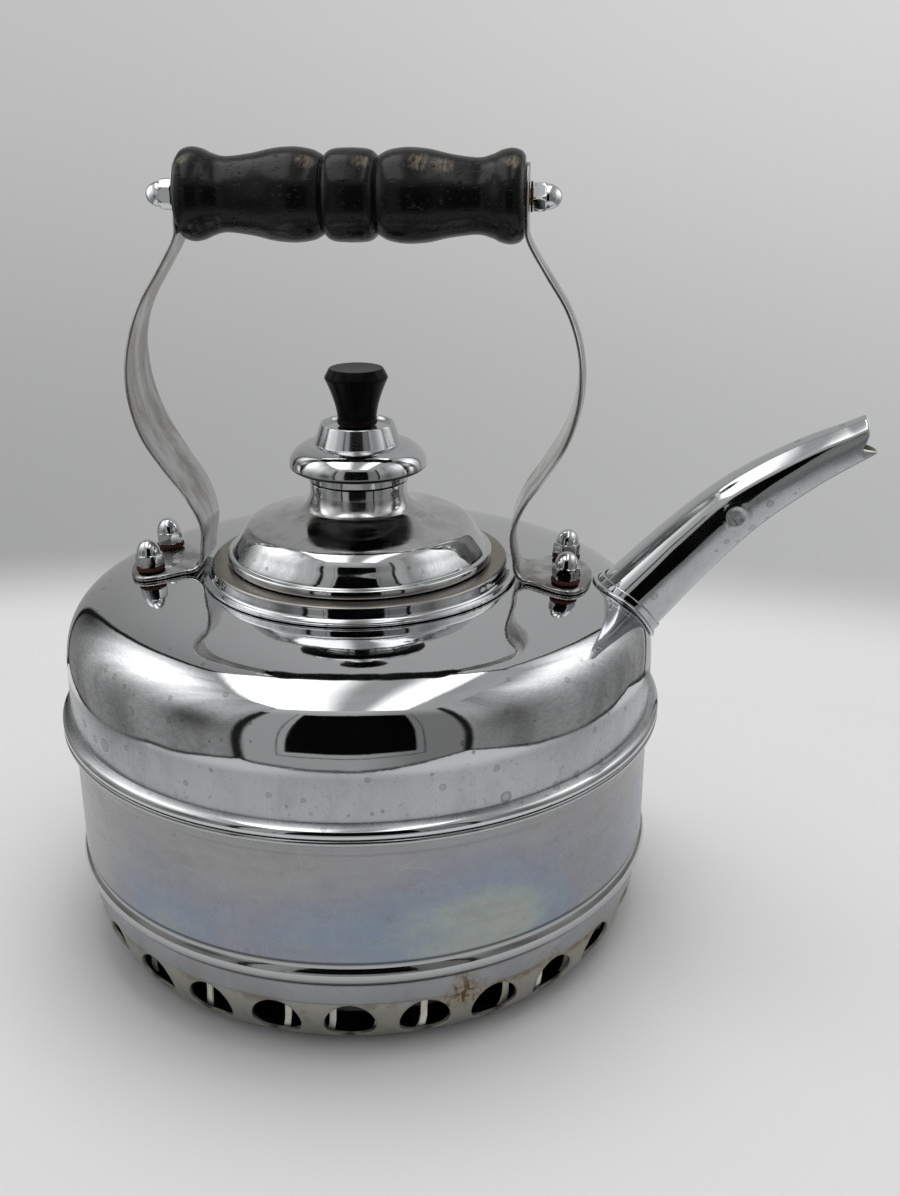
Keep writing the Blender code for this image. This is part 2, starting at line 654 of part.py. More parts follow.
def lid_screw(steel, parent):
    """Long screw from under the dome, through neck and cap, into the knob."""
    seat = DOME_RISE - LID_SHEET - GAP - SCREW_WASHER - GAP
    tip = cap_top() + GAP + SCREW_GRIP
    section = [(0, seat - SCREW_HEAD_HEIGHT), (SCREW_HEAD, seat - SCREW_HEAD_HEIGHT), (SCREW_HEAD, seat),
               (SCREW_RADIUS, seat), (SCREW_RADIUS, tip), (0, tip)]
    return turned("lid_screw", section, SMALL_FLATS, steel, parent=parent)


def lid_washer(steel, parent):
    top = DOME_RISE - LID_SHEET - GAP
    section = tube(SCREW_HOLE, SCREW_HEAD + SCREW_WASHER, top - SCREW_WASHER, top)
    return turned("lid_screw_washer", section, SMALL_FLATS, steel, parent=parent)


def add_loft(builder, rings):
    """Bridge closed rings of points one after the other and return their vertices."""
    rows = [[builder.verts.new(point) for point in ring] for ring in rings]
    for here, there in zip(rows, rows[1:]):
        for i in range(len(here)):
            j = (i + 1) % len(here)
            builder.faces.new((here[i], here[j], there[j], there[i]))
    return rows


def spout_stations():
    """Centre, direction and radius along the whole tube, with its tucked root and spare end."""
    rows = spout_rows()
    centres = [Vector((x, 0, z)) for x, z, _ in rows]
    aims = []
    for i in range(len(rows)):
        ahead, behind = centres[min(i + 1, len(rows) - 1)], centres[max(i - 1, 0)]
        aims.append((ahead - behind).normalized())
    radii = [r for _, _, r in rows]
    spare = SPOUT_MOUTH * MOUTH_SPARE_SHARE
    centres = [centres[0] - aims[0] * SPOUT_TUCK] + centres + [centres[-1] + aims[-1] * spare]
    return list(zip(centres, aims[:1] + aims + aims[-1:], radii[:1] + radii + radii[-1:]))


def spout_ring(centre, aim, radius):
    side = Vector((0, 1, 0))
    up = aim.cross(side)
    angles = [math.tau * i / SPOUT_FLATS for i in range(SPOUT_FLATS)]
    return [centre + (side * math.cos(a) + up * math.sin(a)) * radius for a in angles]


def mouth_cutter():
    """Prism that trims the tube to its pouring lip, with its outline in the mouth's own frame."""
    builder = bmesh.new()
    half = SPOUT_MOUTH + OVERRUN
    rings = []
    for hand in (-half, half):
        rings.append([(-up * SPOUT_MOUTH, hand, along * SPOUT_MOUTH) for along, up in MOUTH_SHARES])
    rows = add_loft(builder, rings)
    for row in rows:
        builder.faces.new(row)
    return make_object("mouth_cutter", builder, None, mouth_frame())


def dimple_cutter():
    """Sphere that presses the small round dimple into the tube's near side."""
    stations = spout_stations()
    index = min(range(len(stations)), key=lambda i: abs(stations[i][0].x - spout_seat().x
                                                        - DIMPLE_SHARE * SPOUT_REACH))
    centre, _, radius = stations[index]
    ball = (DIMPLE_RADIUS ** 2 + DIMPLE_DEPTH ** 2) / (2 * DIMPLE_DEPTH)
    builder = bmesh.new()
    bmesh.ops.create_icosphere(builder, subdivisions=DIMPLE_STEPS, radius=ball)
    place = centre - Vector((0, radius - DIMPLE_DEPTH + ball, 0))
    return make_object("dimple_cutter", builder, None, Matrix.Translation(place))


def spout_tube(chrome, parent):
    builder = bmesh.new()
    stations = spout_stations()
    outer = add_loft(builder, [spout_ring(c, aim, r) for c, aim, r in stations])
    inner = add_loft(builder, [spout_ring(c, aim, r - SPOUT_WALL) for c, aim, r in stations])
    for a, b in ((outer[0], inner[0]), (outer[-1], inner[-1])):
        for i in range(SPOUT_FLATS):
            j = (i + 1) % SPOUT_FLATS
            builder.faces.new((a[i], a[j], b[j], b[i]))
    spout = make_object("spout_tube", builder, chrome, parent=parent)
    cut(spout, mouth_cutter())
    cut(spout, dimple_cutter())
    return spout


def shoulder_skin(name, low, high):
    """Cutter: the space between two heights above the shoulder."""
    return turned(name, sheet(offset(shoulder_path(), -high), high - low), POT_FLATS)


def spout_sleeve(chrome, parent):
    """Short sleeve that joins the tube to the pot: its end follows the curve of the shoulder."""
    sleeve = turned("spout_sleeve", tube(SLEEVE_BORE, SLEEVE_RADIUS, -SLEEVE_TUCK, SLEEVE_TUCK), KNOB_FLATS,
                    chrome, spout_frame(), parent)
    cut(sleeve, shoulder_skin("sleeve_trim", SLEEVE_PROUD, SLEEVE_PROUD + 2 * SLEEVE_TUCK))
    return sleeve


def spout_saddle(chrome, parent):
    """Thin ring round the sleeve that lies on the curve of the shoulder."""
    section = tube(SPOUT_HOLE, SPOUT_HOLE + SADDLE_WIDTH, -SLEEVE_TUCK, SLEEVE_TUCK)
    saddle = turned("spout_saddle", section, KNOB_FLATS, chrome, spout_frame(), parent)
    cut(saddle, shoulder_skin("saddle_skin", GAP, GAP + SADDLE_THICK), "INTERSECT")
    return saddle


def bow_rows():
    """Flat face of the strap from its foot bend to its top end: reach, height, half width, crown."""
    rows = []
    for height, reach, width, crown in LOWER_BOW_SHARES:
        rows.append((STRAP_NECK + (STRAP_BOW - STRAP_NECK) * reach, CROWN + BOW_RISE * height,
                     STRAP_WIDE * width, STRAP_CROWN * crown))
    above = GRIP_RISE - BOW_RISE
    for height, reach, width, crown in UPPER_BOW_SHARES:
        rows.append((STRAP_TOP + (STRAP_BOW - STRAP_TOP) * reach, CROWN + BOW_RISE + above * height,
                     STRAP_WIDE * width, STRAP_CROWN * crown))
    rows = [tuple(row) for row in smooth_through(rows, STRAP_STEPS)]
    width, crown = rows[-1][2:]
    top = GRIP_AXIS + STRAP_OVER
    return rows + [(STRAP_TOP, top - width * away, width * half, crown) for away, half in TOP_END_SHARES]


def foot_rows():
    """Flat underside of the foot from its oval end in to the bend: reach and half width."""
    bend = bow_rows()[0][0] + FOOT_ROUND
    rows = [(bend + (FOOT_CENTRE - bend) * place, FOOT_WIDTH * half) for place, half in FOOT_IN_SHARES]
    rows += [(FOOT_CENTRE + FOOT_LENGTH * place, FOOT_WIDTH * half) for place, half in FOOT_OUT_SHARES]
    return rows[::-1]


def strap_section(point, normal, half, edge, middle, sag, power):
    """Ring of points across the strap: a flat face, two edges and a crowned face."""
    ring = []
    for i in range(SECTION_STEPS + 1):
        y = half * math.cos(math.pi * i / SECTION_STEPS)
        lift = edge + (middle - edge) * (1 - abs(y / half) ** power)
        ring.append(point + normal * lift + Vector((0, y, sag(y))))
    for i in range(SECTION_STEPS, -1, -1):
        y = half * math.cos(math.pi * i / SECTION_STEPS)
        ring.append(point + Vector((0, y, sag(y))))
    return ring


def level(y):
    """Above the foot the strap is straight across."""
    return 0


def foot_rings():
    """Stations of the foot, which lies on the shoulder and follows its fall to both sides."""
    rings = []
    for reach, half in foot_rows():
        point = Vector((reach, 0, crown_height(reach) + GAP))

        def sag(y, reach=reach):
            return crown_height(math.hypot(reach, y)) - crown_height(reach)

        rings.append(strap_section(point, Vector((0, 0, 1)), half, FOOT_THICK * FOOT_EDGE_SHARE, FOOT_THICK,
                                   sag, FOOT_POWER))
    return rings


def bend_rings():
    """Stations round the bend between the foot and the upright strap."""
    rings = []
    first_reach, first_height, first_half, first_crown = bow_rows()[0]
    end_reach, end_half = foot_rows()[-1]
    end = Vector((end_reach, 0, CROWN + GAP))
    first = Vector((first_reach, 0, first_height))
    corner = Vector((first_reach, 0, CROWN + GAP))
    for share in BEND_SHARES:
        rest = 1 - share
        point = end * rest ** 2 + corner * 2 * share * rest + first * share ** 2
        aim = ((corner - end) * rest + (first - corner) * share).normalized()
        half = end_half * rest + first_half * share
        middle = FOOT_THICK * rest + (STRAP_EDGE + first_crown) * share
        edge = FOOT_THICK * FOOT_EDGE_SHARE * rest + STRAP_EDGE * share
        rings.append(strap_section(point, Vector((aim.z, 0, -aim.x)), half, edge, middle, level, BEND_POWER))
    return rings


def bow_rings():
    """Stations of the upright strap, square to its own line."""
    rings = []
    rows = bow_rows()
    for i, (reach, height, half, crown) in enumerate(rows):
        before, after = rows[max(i - 1, 0)], rows[min(i + 1, len(rows) - 1)]
        aim = Vector((after[0] - before[0], 0, after[1] - before[1])).normalized()
        rings.append(strap_section(Vector((reach, 0, height)), Vector((aim.z, 0, -aim.x)), half, STRAP_EDGE,
                                   STRAP_EDGE + crown, level, STRAP_POWER))
    return rings


def strap(name, side, chrome, parent):
    """One strap, on the spout side for side = 1 and opposite for side = -1."""
    builder = bmesh.new()
    flip = Matrix.Scale(side, 4, Vector((1, 0, 0)))
    rings = foot_rings() + bend_rings() + bow_rings()
    rows = add_loft(builder, [[flip @ point for point in ring] for ring in rings])
    builder.faces.new(rows[0])
    builder.faces.new(rows[-1])
    made = make_object(name, builder, chrome, parent=parent)
    reach = FOOT_THICK + STRAP_EDGE + STRAP_CROWN + OVERRUN
    drills = [(rod(BOLT_HOLE, -reach, reach), SMALL_FLATS, f) for f in bolt_frames()
              if f.translation.x * side > 0]
    drills.append((rod(BOLT_HOLE, -reach, reach), SMALL_FLATS,
                   axis_frame((side * STRAP_TOP, 0, GRIP_AXIS), (side, 0, 0))))
    cut(made, drill_set(name + "_drills", drills))
    return made


def along_grip():
    """Frame at the middle of the grip, with Z along it towards the spout."""
    return axis_frame((0, 0, GRIP_AXIS), (1, 0, 0))


def grip(wood, parent):
    """Turned grip with a centre bead, two bulges and two ends, bored for the rod."""
    half = [(GRIP_RADIUS * radius, GRIP_HALF * place) for place, radius in GRIP_SHARES]
    other = [(radius, -place) for radius, place in half[:0:-1]]
    section = [(BOLT_HOLE, -GRIP_HALF)] + other + half + [(BOLT_HOLE, GRIP_HALF)]
    return turned("grip", section, GRIP_FLATS, wood, along_grip(), parent)


def strap_outside():
    """Outer side of the strap at the grip's axis, measured from the middle of the grip."""
    return STRAP_TOP + STRAP_EDGE + bow_rows()[-1][3]


def nut_base():
    """Where the grip's nuts begin, measured from the middle of the grip."""
    return strap_outside() + GAP + GRIP_WASHER_THICK + GAP


def grip_rod(steel, parent):
    reach = nut_base() + NUT_BORE_DEPTH - GAP
    return turned("grip_rod", rod(BOLT_RADIUS, -reach, reach), SMALL_FLATS, steel, along_grip(), parent)


def nut(name, chrome, frame, parent):
    """Domed nut with a blind bore: turned first, then given its six flats."""
    dome = curve((0, NUT_HEX), (NUT_DOME, NUT_HEIGHT - NUT_HEX), 0, 90, NUT_STEPS)
    blank = [(BOLT_HOLE, 0), (NUT_FLAT, 0), (NUT_FLAT, NUT_HEX)] + dome[:-1]
    bore = [(0, NUT_HEIGHT), (0, NUT_BORE_DEPTH), (BOLT_HOLE, NUT_BORE_DEPTH)]
    made = turned(name, blank + bore, SMALL_FLATS, chrome, frame, parent)
    flats = rod(NUT_FLAT / math.sqrt(3), -OVERRUN, NUT_HEIGHT + OVERRUN)
    cut(made, turned(name + "_flats", flats, NUT_SIDES, frame=frame), "INTERSECT")
    return made


def grip_fasteners(finishes, parent):
    """Washer and nut outside the strap at each end of the grip's rod."""
    washer = tube(BOLT_HOLE, GRIP_WASHER_RADIUS, -GAP - GRIP_WASHER_THICK, -GAP)
    for label, side in (("front", 1), ("rear", -1)):
        end = axis_frame((side * nut_base(), 0, GRIP_AXIS), (side, 0, 0))
        turned("grip_washer_" + label, washer, SMALL_FLATS, finishes["fibre"], end, parent)
        nut("grip_nut_" + label, finishes["chrome"], end, parent)


def foot_fasteners(finishes, parent):
    """Bolt, seal and nut at each of the four places where a foot is fixed to the shoulder."""
    seal_top = -SHEET - GAP - shoulder_sag(SEAL_RADIUS)
    head_top = seal_top - SEAL_THICK - GAP
    washer_low = GAP + FOOT_THICK + GAP
    nut_low = washer_low + FIBRE_THICK + GAP
    head_low = head_top - BOLT_HEAD_HEIGHT
    tip = nut_low + NUT_BORE_DEPTH - GAP
    bolt = [(0, head_low), (BOLT_HEAD, head_low), (BOLT_HEAD, head_top), (BOLT_RADIUS, head_top),
            (BOLT_RADIUS, tip), (0, tip)]
    seal = tube(BOLT_HOLE, SEAL_RADIUS, seal_top - SEAL_THICK, seal_top)
    washer = tube(BOLT_HOLE, FIBRE_RADIUS, washer_low, washer_low + FIBRE_THICK)
    for label, frame in zip(FOOT_LABELS, bolt_frames()):
        turned("foot_bolt_" + label, bolt, SMALL_FLATS, finishes["brass"], frame, parent)
        turned("foot_seal_" + label, seal, SMALL_FLATS, finishes["fibre"], frame, parent)
        turned("foot_washer_" + label, washer, SMALL_FLATS, finishes["fibre"], frame, parent)
        nut("foot_nut_" + label, finishes["chrome"], frame @ Matrix.Translation((0, 0, nut_low)), parent)


def make_finishes():
    return {
        "chrome": finish("polished_chrome", (0.78, 0.78, 0.79), 0.08, 1),
        "satin": finish("worn_chrome", (0.66, 0.66, 0.68), 0.28, 1),
        "copper": finish("bare_copper", (0.72, 0.42, 0.30), 0.35, 1),
        "ring": finish("stained_chrome", (0.62, 0.58, 0.52), 0.30, 1),
        "strip": finish("coil_strip", (0.58, 0.55, 0.50), 0.45, 1),
        "brass": finish("brass", (0.72, 0.58, 0.32), 0.35, 1),
        "wood": finish("black_lacquered_wood", (0.012, 0.011, 0.011), 0.22, 0),
        "moulding": finish("black_moulding", (0.015, 0.015, 0.016), 0.30, 0),
        "fibre": finish("red_fibre", (0.09, 0.025, 0.018), 0.7, 0),
    }


def empty(name, height, parent=None):
    """Empty on the kettle's axis that carries a group of pieces."""
    thing = bpy.data.objects.new(name, None)
    bpy.context.collection.objects.link(thing)
    thing.location = (0, 0, height)
    thing.parent = parent
    return thing


def build_pot(finishes):
    pot = empty("pot", 0)
    upper_body(finishes["chrome"], pot)
    lower_body(finishes["satin"], pot)
    base_plate(finishes["copper"], pot)
    heat_ring(finishes["ring"], pot)
    heat_coil(finishes["strip"], pot)
    mouth_collar(finishes["chrome"], pot)
    spout_tube(finishes["chrome"], pot)
    spout_sleeve(finishes["chrome"], pot)
    spout_saddle(finishes["chrome"], pot)
    return pot


def build_handle(finishes, pot):
    strap("strap_front", 1, finishes["chrome"], pot)
    strap("strap_rear", -1, finishes["chrome"], pot)
    grip(finishes["wood"], pot)
    grip_rod(finishes["brass"], pot)
    grip_fasteners(finishes, pot)
    foot_fasteners(finishes, pot)


def build_lid(finishes, pot):
    """The lid's pieces share an empty on the seat, so the whole lid lifts by its height."""
    lid = empty("lid", SEAT + GAP, pot)
    lid_dome(finishes["chrome"], lid)
    plug_ring(finishes["chrome"], lid)
    lid_neck(finishes["chrome"], lid)
    lid_cap(finishes["chrome"], lid)
    lid_knob(finishes["moulding"], lid)
    lid_screw(finishes["brass"], lid)
    lid_washer(finishes["brass"], lid)


def main():
    clear_scene()
    finishes = make_finishes()
    pot = build_pot(finishes)
    build_handle(finishes, pot)
    build_lid(finishes, pot)


main()
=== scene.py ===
# %% [markdown]
# # A tea kettle with a lift-off lid
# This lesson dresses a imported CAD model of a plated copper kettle. Each piece is built again as smooth,
# rounded metal or wood in the place of its CAD node, and gets a finish made of nodes.
# A plated kettle shows the room it stands in more than itself, so the light tent is part of the lesson.

# %% Load the frame
import math
import bpy
import bmesh
import numpy as np
from mathutils import Matrix, Vector


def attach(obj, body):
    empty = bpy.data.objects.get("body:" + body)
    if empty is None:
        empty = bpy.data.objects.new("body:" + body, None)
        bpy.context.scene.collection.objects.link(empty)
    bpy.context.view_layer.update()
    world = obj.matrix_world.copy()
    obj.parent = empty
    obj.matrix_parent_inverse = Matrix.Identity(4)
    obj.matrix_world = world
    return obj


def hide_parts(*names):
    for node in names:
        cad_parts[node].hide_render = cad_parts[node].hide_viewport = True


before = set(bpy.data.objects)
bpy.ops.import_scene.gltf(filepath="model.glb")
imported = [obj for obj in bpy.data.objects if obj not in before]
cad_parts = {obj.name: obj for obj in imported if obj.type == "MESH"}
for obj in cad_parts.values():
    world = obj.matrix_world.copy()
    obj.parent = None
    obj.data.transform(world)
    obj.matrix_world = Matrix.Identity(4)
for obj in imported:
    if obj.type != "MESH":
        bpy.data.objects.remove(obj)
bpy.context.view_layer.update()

# %% [markdown]
# ## Sizes
# The kettle was measured once, in metres, with the pot's axis on Z and the spout towards +X.
# Everything below is made from these sizes, so a piece always meets its neighbour.

# %% Sizes of the pot and its mouth
TAU = math.tau
GAP = 0.0003            # left between two pieces that touch
SHEET = 0.0010
SEAM = 0.0802           # where the two pressed halves meet
SPRING = 0.0931         # where the round shoulder begins
CROWN = 0.1246          # flat top of the pot
SEAT = 0.1303           # underside of the lid's lip
POT_RADIUS = 0.0985
BEAD_RADIUS = 0.1020
UPPER_RADIUS = 0.0988
CROWN_RADIUS = 0.0510
SHOULDER_WIDTH = UPPER_RADIUS - CROWN_RADIUS
SHOULDER_RISE = CROWN - SPRING
SHOULDER_POWER = 3.6
MOUTH_HOLE = 0.0423
COLLAR_RADIUS = 0.0494
COLLAR_BORE = 0.0412
GRIP_AXIS = 0.2463
BORE = 0.0027           # radius of the holes for rod, bolts and screw
HEM_LOW = SEAM - 0.0019     # underside of the middle bead
BASE_BEAD = (0.0969, 0.0321)    # radius and height of the middle of the bead round the base
BASE_BEAD_SIZE = (0.0028, 0.0034)
BASE_BEAD_TOP = BASE_BEAD[1] + BASE_BEAD_SIZE[1]
RING_HEIGHT = 0.0284
CREASE = 0.0206         # fold of the heat ring
print("pot", round(2 * BEAD_RADIUS * 1000), "mm across and", round(CROWN * 1000), "mm to its crown")

# %% Heights of the lid's pieces above its seat
DOME_TOP = 0.02295      # where the neck's straight part begins
NECK_TOP = 0.0263
CAP_LOW = NECK_TOP + GAP
CAP_LIP = CAP_LOW + 0.0030      # where the cap's skirt ends and its bulge begins
CAP_WIDE = CAP_LIP + 0.0022
CAP_FOOT = CAP_WIDE + 0.0069    # where the cone stands on the bulge
CONE_TOP = CAP_FOOT + 0.0066
CAP_TOP = CONE_TOP - 0.0012     # floor of the recess that holds the knob
NECK_RADIUS, NECK_BORE, CAP_SKIRT = 0.0162, 0.0150, 0.0166
print("lid", round(CONE_TOP * 1000, 1), "mm high without its knob")

# %% [markdown]
# ## One way to write node trees
# A tree of nodes is easier to read as sums than as a list of links. A Wire stands for one output socket:
# adding or multiplying it makes the Math node and gives back the new output. Any other node comes from
# Bench.node, which takes the node's type, the values or wires of its sockets, and its settings by name.

# %% Wires and benches
class Wire:
    """An output socket that can be used in sums."""

    def __init__(self, bench, socket):
        self.bench, self.socket = bench, socket

    def math(self, operation, *others):
        return self.bench.sum(operation, self, *others)

    def __neg__(self):
        return self * -1

    def out(self, name):
        """Another output of the same node."""
        return Wire(self.bench, self.socket.node.outputs[name])

    def step(self, low, high):
        """0 below low and 1 above high, with a soft ramp. The other way round when low is above high."""
        sockets = {"Value": self, "From Min": min(low, high), "From Max": max(low, high),
                   "To Min": float(low > high), "To Max": float(low < high)}
        return self.bench.node("ShaderNodeMapRange", sockets, interpolation_type="SMOOTHSTEP")

    def mix(self, first, second):
        """The first colour where the wire is 0 and the second where it is 1."""
        return self.bench.node("ShaderNodeMix", {0: self, 6: first, 7: second}, 2, data_type="RGBA")

    def bell(self, middle, width):
        """1 at a value and falling to 0 at a width from it on both sides."""
        return (self - middle).math("ABSOLUTE").step(width, 0)

    def at_most(self, top=1.0):
        return self.math("MINIMUM", top)

    def at_least(self, low=0.0):
        return self.math("MAXIMUM", low)

    def hypot(self, other):
        """Length of the long side over two short ones."""
        return (self * self + other * other).math("SQRT")


# Each sign makes the Math node of its operation, whether the wire stands before or after it
for sign, operation in dict(add="ADD", sub="SUBTRACT", mul="MULTIPLY", truediv="DIVIDE", pow="POWER").items():
    setattr(Wire, f"__{sign}__", lambda one, two, name=operation: one.bench.sum(name, one, two))
    setattr(Wire, f"__r{sign}__", lambda one, two, name=operation: one.bench.sum(name, two, one))


class Bench:
    """A node tree being built."""

    def __init__(self, tree):
        self.tree = tree

    def node(self, kind, sockets=None, out=0, **settings):
        """New node with its sockets set or linked: the wire of an output, or the node if it has none."""
        made = self.tree.nodes.new(kind)
        for key, value in settings.items():
            if key == "stops":
                fill_ramp(made.color_ramp, value)
            else:
                setattr(made, key, value)
        for key, value in (sockets or {}).items():
            if isinstance(value, Wire):
                self.tree.links.new(value.socket, made.inputs[key])
            else:
                made.inputs[key].default_value = value
        return Wire(self, made.outputs[out]) if len(made.outputs) else made

    def sum(self, operation, *values):
        return self.node("ShaderNodeMath", dict(enumerate(values)), operation=operation)

    def vector(self, operation, *values, out=0):
        return self.node("ShaderNodeVectorMath", dict(enumerate(values)), out, operation=operation)

    def parts(self, vector):
        """The three parts of a vector."""
        first = self.node("ShaderNodeSeparateXYZ", {"Vector": vector})
        return first, first.out("Y"), first.out("Z")


def fill_ramp(ramp, stops):
    """Colour ramp with these (position, colour) stops."""
    while len(ramp.elements) < len(stops):
        ramp.elements.new(1)
    for element, (place, colour) in zip(ramp.elements, stops):
        element.position, element.color = place, colour


def tint(red, green, blue):
    return (red, green, blue, 1)


print("wires and benches ready")

# %% [markdown]
# ## Profiles and turned pieces
# Most of a kettle is round: pressed or turned about one axis. Such a piece needs only its section.
# A section with sharp corners looks cut from paper, so each corner may carry a small round of its own.

# %% Sections
def arc(centre, size, start, end, steps, power=2):
    """Points on an ellipse between two angles in degrees. A power over 2 makes the ellipse squarer."""
    points = []
    for angle in np.radians(np.linspace(start, end, steps + 1)):
        c, s = math.cos(angle), math.sin(angle)
        points.append((centre[0] + size[0] * math.copysign(abs(c) ** (2 / power), c),
                       centre[1] + size[1] * math.copysign(abs(s) ** (2 / power), s)))
    return points


def eased(corners, steps=4):
    """Closed section through corners (x, y, round): each corner with a round gets a small curve."""
    points = []
    count = len(corners)
    for i, corner in enumerate(corners):
        here = Vector(corner[:2])
        if len(corner) < 3 or not corner[2]:
            points.append(tuple(here))
            continue
        ends = []
        for other in (corners[i - 1], corners[(i + 1) % count]):
            way = Vector(other[:2]) - here
            ends.append(here + way.normalized() * min(corner[2], way.length * 0.49))
        for t in np.linspace(0, 1, steps + 1):
            points.append(tuple(ends[0] * (1 - t) ** 2 + here * 2 * t * (1 - t) + ends[1] * t ** 2))
    return points


def unit(rows):
    """The same directions with a length of one."""
    return rows / np.linalg.norm(rows, axis=1)[:, None]


def beside(path, distance):
    """The same path moved sideways, to its left when the distance is positive."""
    p = np.array(path, float)
    way = unit(np.gradient(p, axis=0))
    return [tuple(q) for q in p + np.column_stack([-way[:, 1], way[:, 0]]) * distance]


def through(rows, parts):
    """Smooth Catmull-Rom curve through rows of numbers."""
    rows = np.array(rows, float)
    padded = np.vstack([2 * rows[0] - rows[1], rows, 2 * rows[-1] - rows[-2]])
    points = []
    for a, b, c, d in zip(padded, padded[1:], padded[2:], padded[3:]):
        for t in np.arange(parts) / parts:
            points.append((2 * b + (c - a) * t + (2 * a - 5 * b + 4 * c - d) * t * t
                           + (3 * b - a - 3 * c + d) * t ** 3) / 2)
    return np.array(points + [rows[-1]])


print("a rounded square section has", len(eased([(0, 0, 1), (4, 0, 1), (4, 4, 1), (0, 4, 1)])), "points")

# %% Objects from points and faces
SHARP = math.radians(38)    # edges steeper than this stay sharp


def finished(mesh, builder, weld):
    """The mesh with what was built: welded, facing outwards, and smooth but for its steep edges."""
    bmesh.ops.remove_doubles(builder, verts=builder.verts[:], dist=weld)
    bmesh.ops.recalc_face_normals(builder, faces=builder.faces[:])
    builder.to_mesh(mesh)
    builder.free()
    mesh.shade_smooth()
    mesh.set_sharp_from_angle(angle=SHARP)
    return mesh


def lay(name, points, faces, finish=None):
    """Object at the origin from points and faces, closed up, facing outwards and smooth."""
    builder = bmesh.new()
    made = [builder.verts.new(p) for p in points]
    for face in faces:
        corners = [made[i] for i in dict.fromkeys(face)]
        if len(corners) > 2:
            builder.faces.new(corners)
    mesh = finished(bpy.data.meshes.new(name), builder, 2e-7)
    thing = bpy.data.objects.new(name, mesh)
    bpy.context.collection.objects.link(thing)
    if finish:
        mesh.materials.append(finish)
    return thing


def loft(rings, wrap=True, caps=False):
    """Points and faces that bridge closed rings one after the other."""
    rings = np.array(rings, float)
    rows, count = rings.shape[:2]
    index = np.arange(rows * count).reshape(rows, count)
    faces = []
    for here, there in zip(index, index[1:]):
        ahead_here, ahead_there = np.roll(here, -1), np.roll(there, -1)
        last = count if wrap else count - 1
        faces += [tuple(f) for f in np.column_stack([here, ahead_here, ahead_there, there])[:last]]
    if caps:
        faces += [tuple(index[0][::-1]), tuple(index[-1])]
    return rings.reshape(-1, 3), faces


def circle(radii, height, count):
    """Points round Z at a height, with one radius for all or one for each."""
    angles = np.arange(count) * TAU / count
    return np.column_stack([radii * np.cos(angles), radii * np.sin(angles), np.full(count, height)])


def turn(section, flats):
    """Points and faces of a closed section of (radius, height) turned about Z."""
    section = np.array([(0 if r < 1e-6 else r, z) for r, z in section])
    angles = np.arange(flats + 1) * TAU / flats
    rings = [np.column_stack([section[:, 0] * math.cos(a), section[:, 0] * math.sin(a), section[:, 1]])
             for a in angles]
    return loft(rings)


def turned(name, section, flats, finish=None, place=None):
    """Object turned about Z, or about the Z axis of another frame."""
    points, faces = turn(section, flats)
    if place is not None:
        points = [place @ Vector(p) for p in points]
    return lay(name, points, faces, finish)


def joined(name, parts):
    """One object from several sets of points and faces."""
    points, faces = [], []
    for some_points, some_faces in parts:
        start = len(points)
        points += [tuple(p) for p in some_points]
        faces += [tuple(i + start for i in face) for face in some_faces]
    return lay(name, points, faces)


def axis_frame(origin, direction):
    """Frame at a point whose Z axis points in a direction."""
    return Matrix.Translation(origin) @ Vector(direction).to_track_quat("Z", "Y").to_matrix().to_4x4()


def settle(piece, body, slot, *nodes):
    """Ride and replaced nodes of a finished piece, and a line on its size. The slot is not used."""
    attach(piece, body)
    if nodes:
        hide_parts(*nodes)
    print(f"{piece.name}: {len(piece.data.vertices)} points, {len(piece.data.polygons)} faces")


print("lofting and turning ready")

# %% [markdown]
# ## Pieces grown by a rule
# A Geometry Nodes tree is a recipe with named inputs. It is built in the script, run once on an object,
# and its result is kept as a plain mesh, so that nothing stays live in the finished scene.

# %% Growing a mesh with a tree
def recipe(name, finish, **sizes):
    """Tree that takes a mesh, named numbers and a finish: its bench, and the wires of these inputs."""
    tree = bpy.data.node_groups.new(name, "GeometryNodeTree")
    tree.interface.new_socket(name="Geometry", in_out="INPUT", socket_type="NodeSocketGeometry")
    bench = Bench(tree)
    bench.inputs = {**sizes, "Finish": finish}
    for key, value in bench.inputs.items():
        kind = {int: "NodeSocketInt", float: "NodeSocketFloat"}.get(type(value), "NodeSocketMaterial")
        tree.interface.new_socket(name=key, in_out="INPUT", socket_type=kind)
    tree.interface.new_socket(name="Geometry", in_out="OUTPUT", socket_type="NodeSocketGeometry")
    first = bench.node("NodeGroupInput")
    return bench, {key: first.out(key) for key in ["Geometry", *bench.inputs]}


def grow(name, bench, wires, result, start=None):
    """Close the tree on a result, run it on an object with its inputs and keep the plain mesh."""
    solid = bench.node("GeometryNodeRealizeInstances", {"Geometry": result})
    dressed = bench.node("GeometryNodeSetMaterial", {"Geometry": solid, "Material": wires["Finish"]})
    bench.node("NodeGroupOutput", {"Geometry": dressed})
    thing = start or lay(name, [], [])
    thing.name = name
    step = thing.modifiers.new(name, "NODES")
    step.node_group = bench.tree
    for item in bench.tree.interface.items_tree:
        if item.in_out == "INPUT" and item.name in bench.inputs:
            step[item.identifier] = bench.inputs[item.name]
    ready = thing.evaluated_get(bpy.context.evaluated_depsgraph_get())
    mesh = bpy.data.meshes.new_from_object(ready)
    thing.modifiers.clear()
    builder = bmesh.new()
    builder.from_mesh(mesh)
    thing.data = finished(mesh, builder, 2e-6)
    mesh.name = name
    return thing


def place_of(bench, across, along, up):
    return bench.node("ShaderNodeCombineXYZ", {"X": across, "Y": along, "Z": up})


def set_at(bench, geometry, *place):
    """The geometry with its points at the place that the sums give."""
    return bench.node("GeometryNodeSetPosition", {"Geometry": geometry, "Position": place_of(bench, *place)})


print("recipes ready")

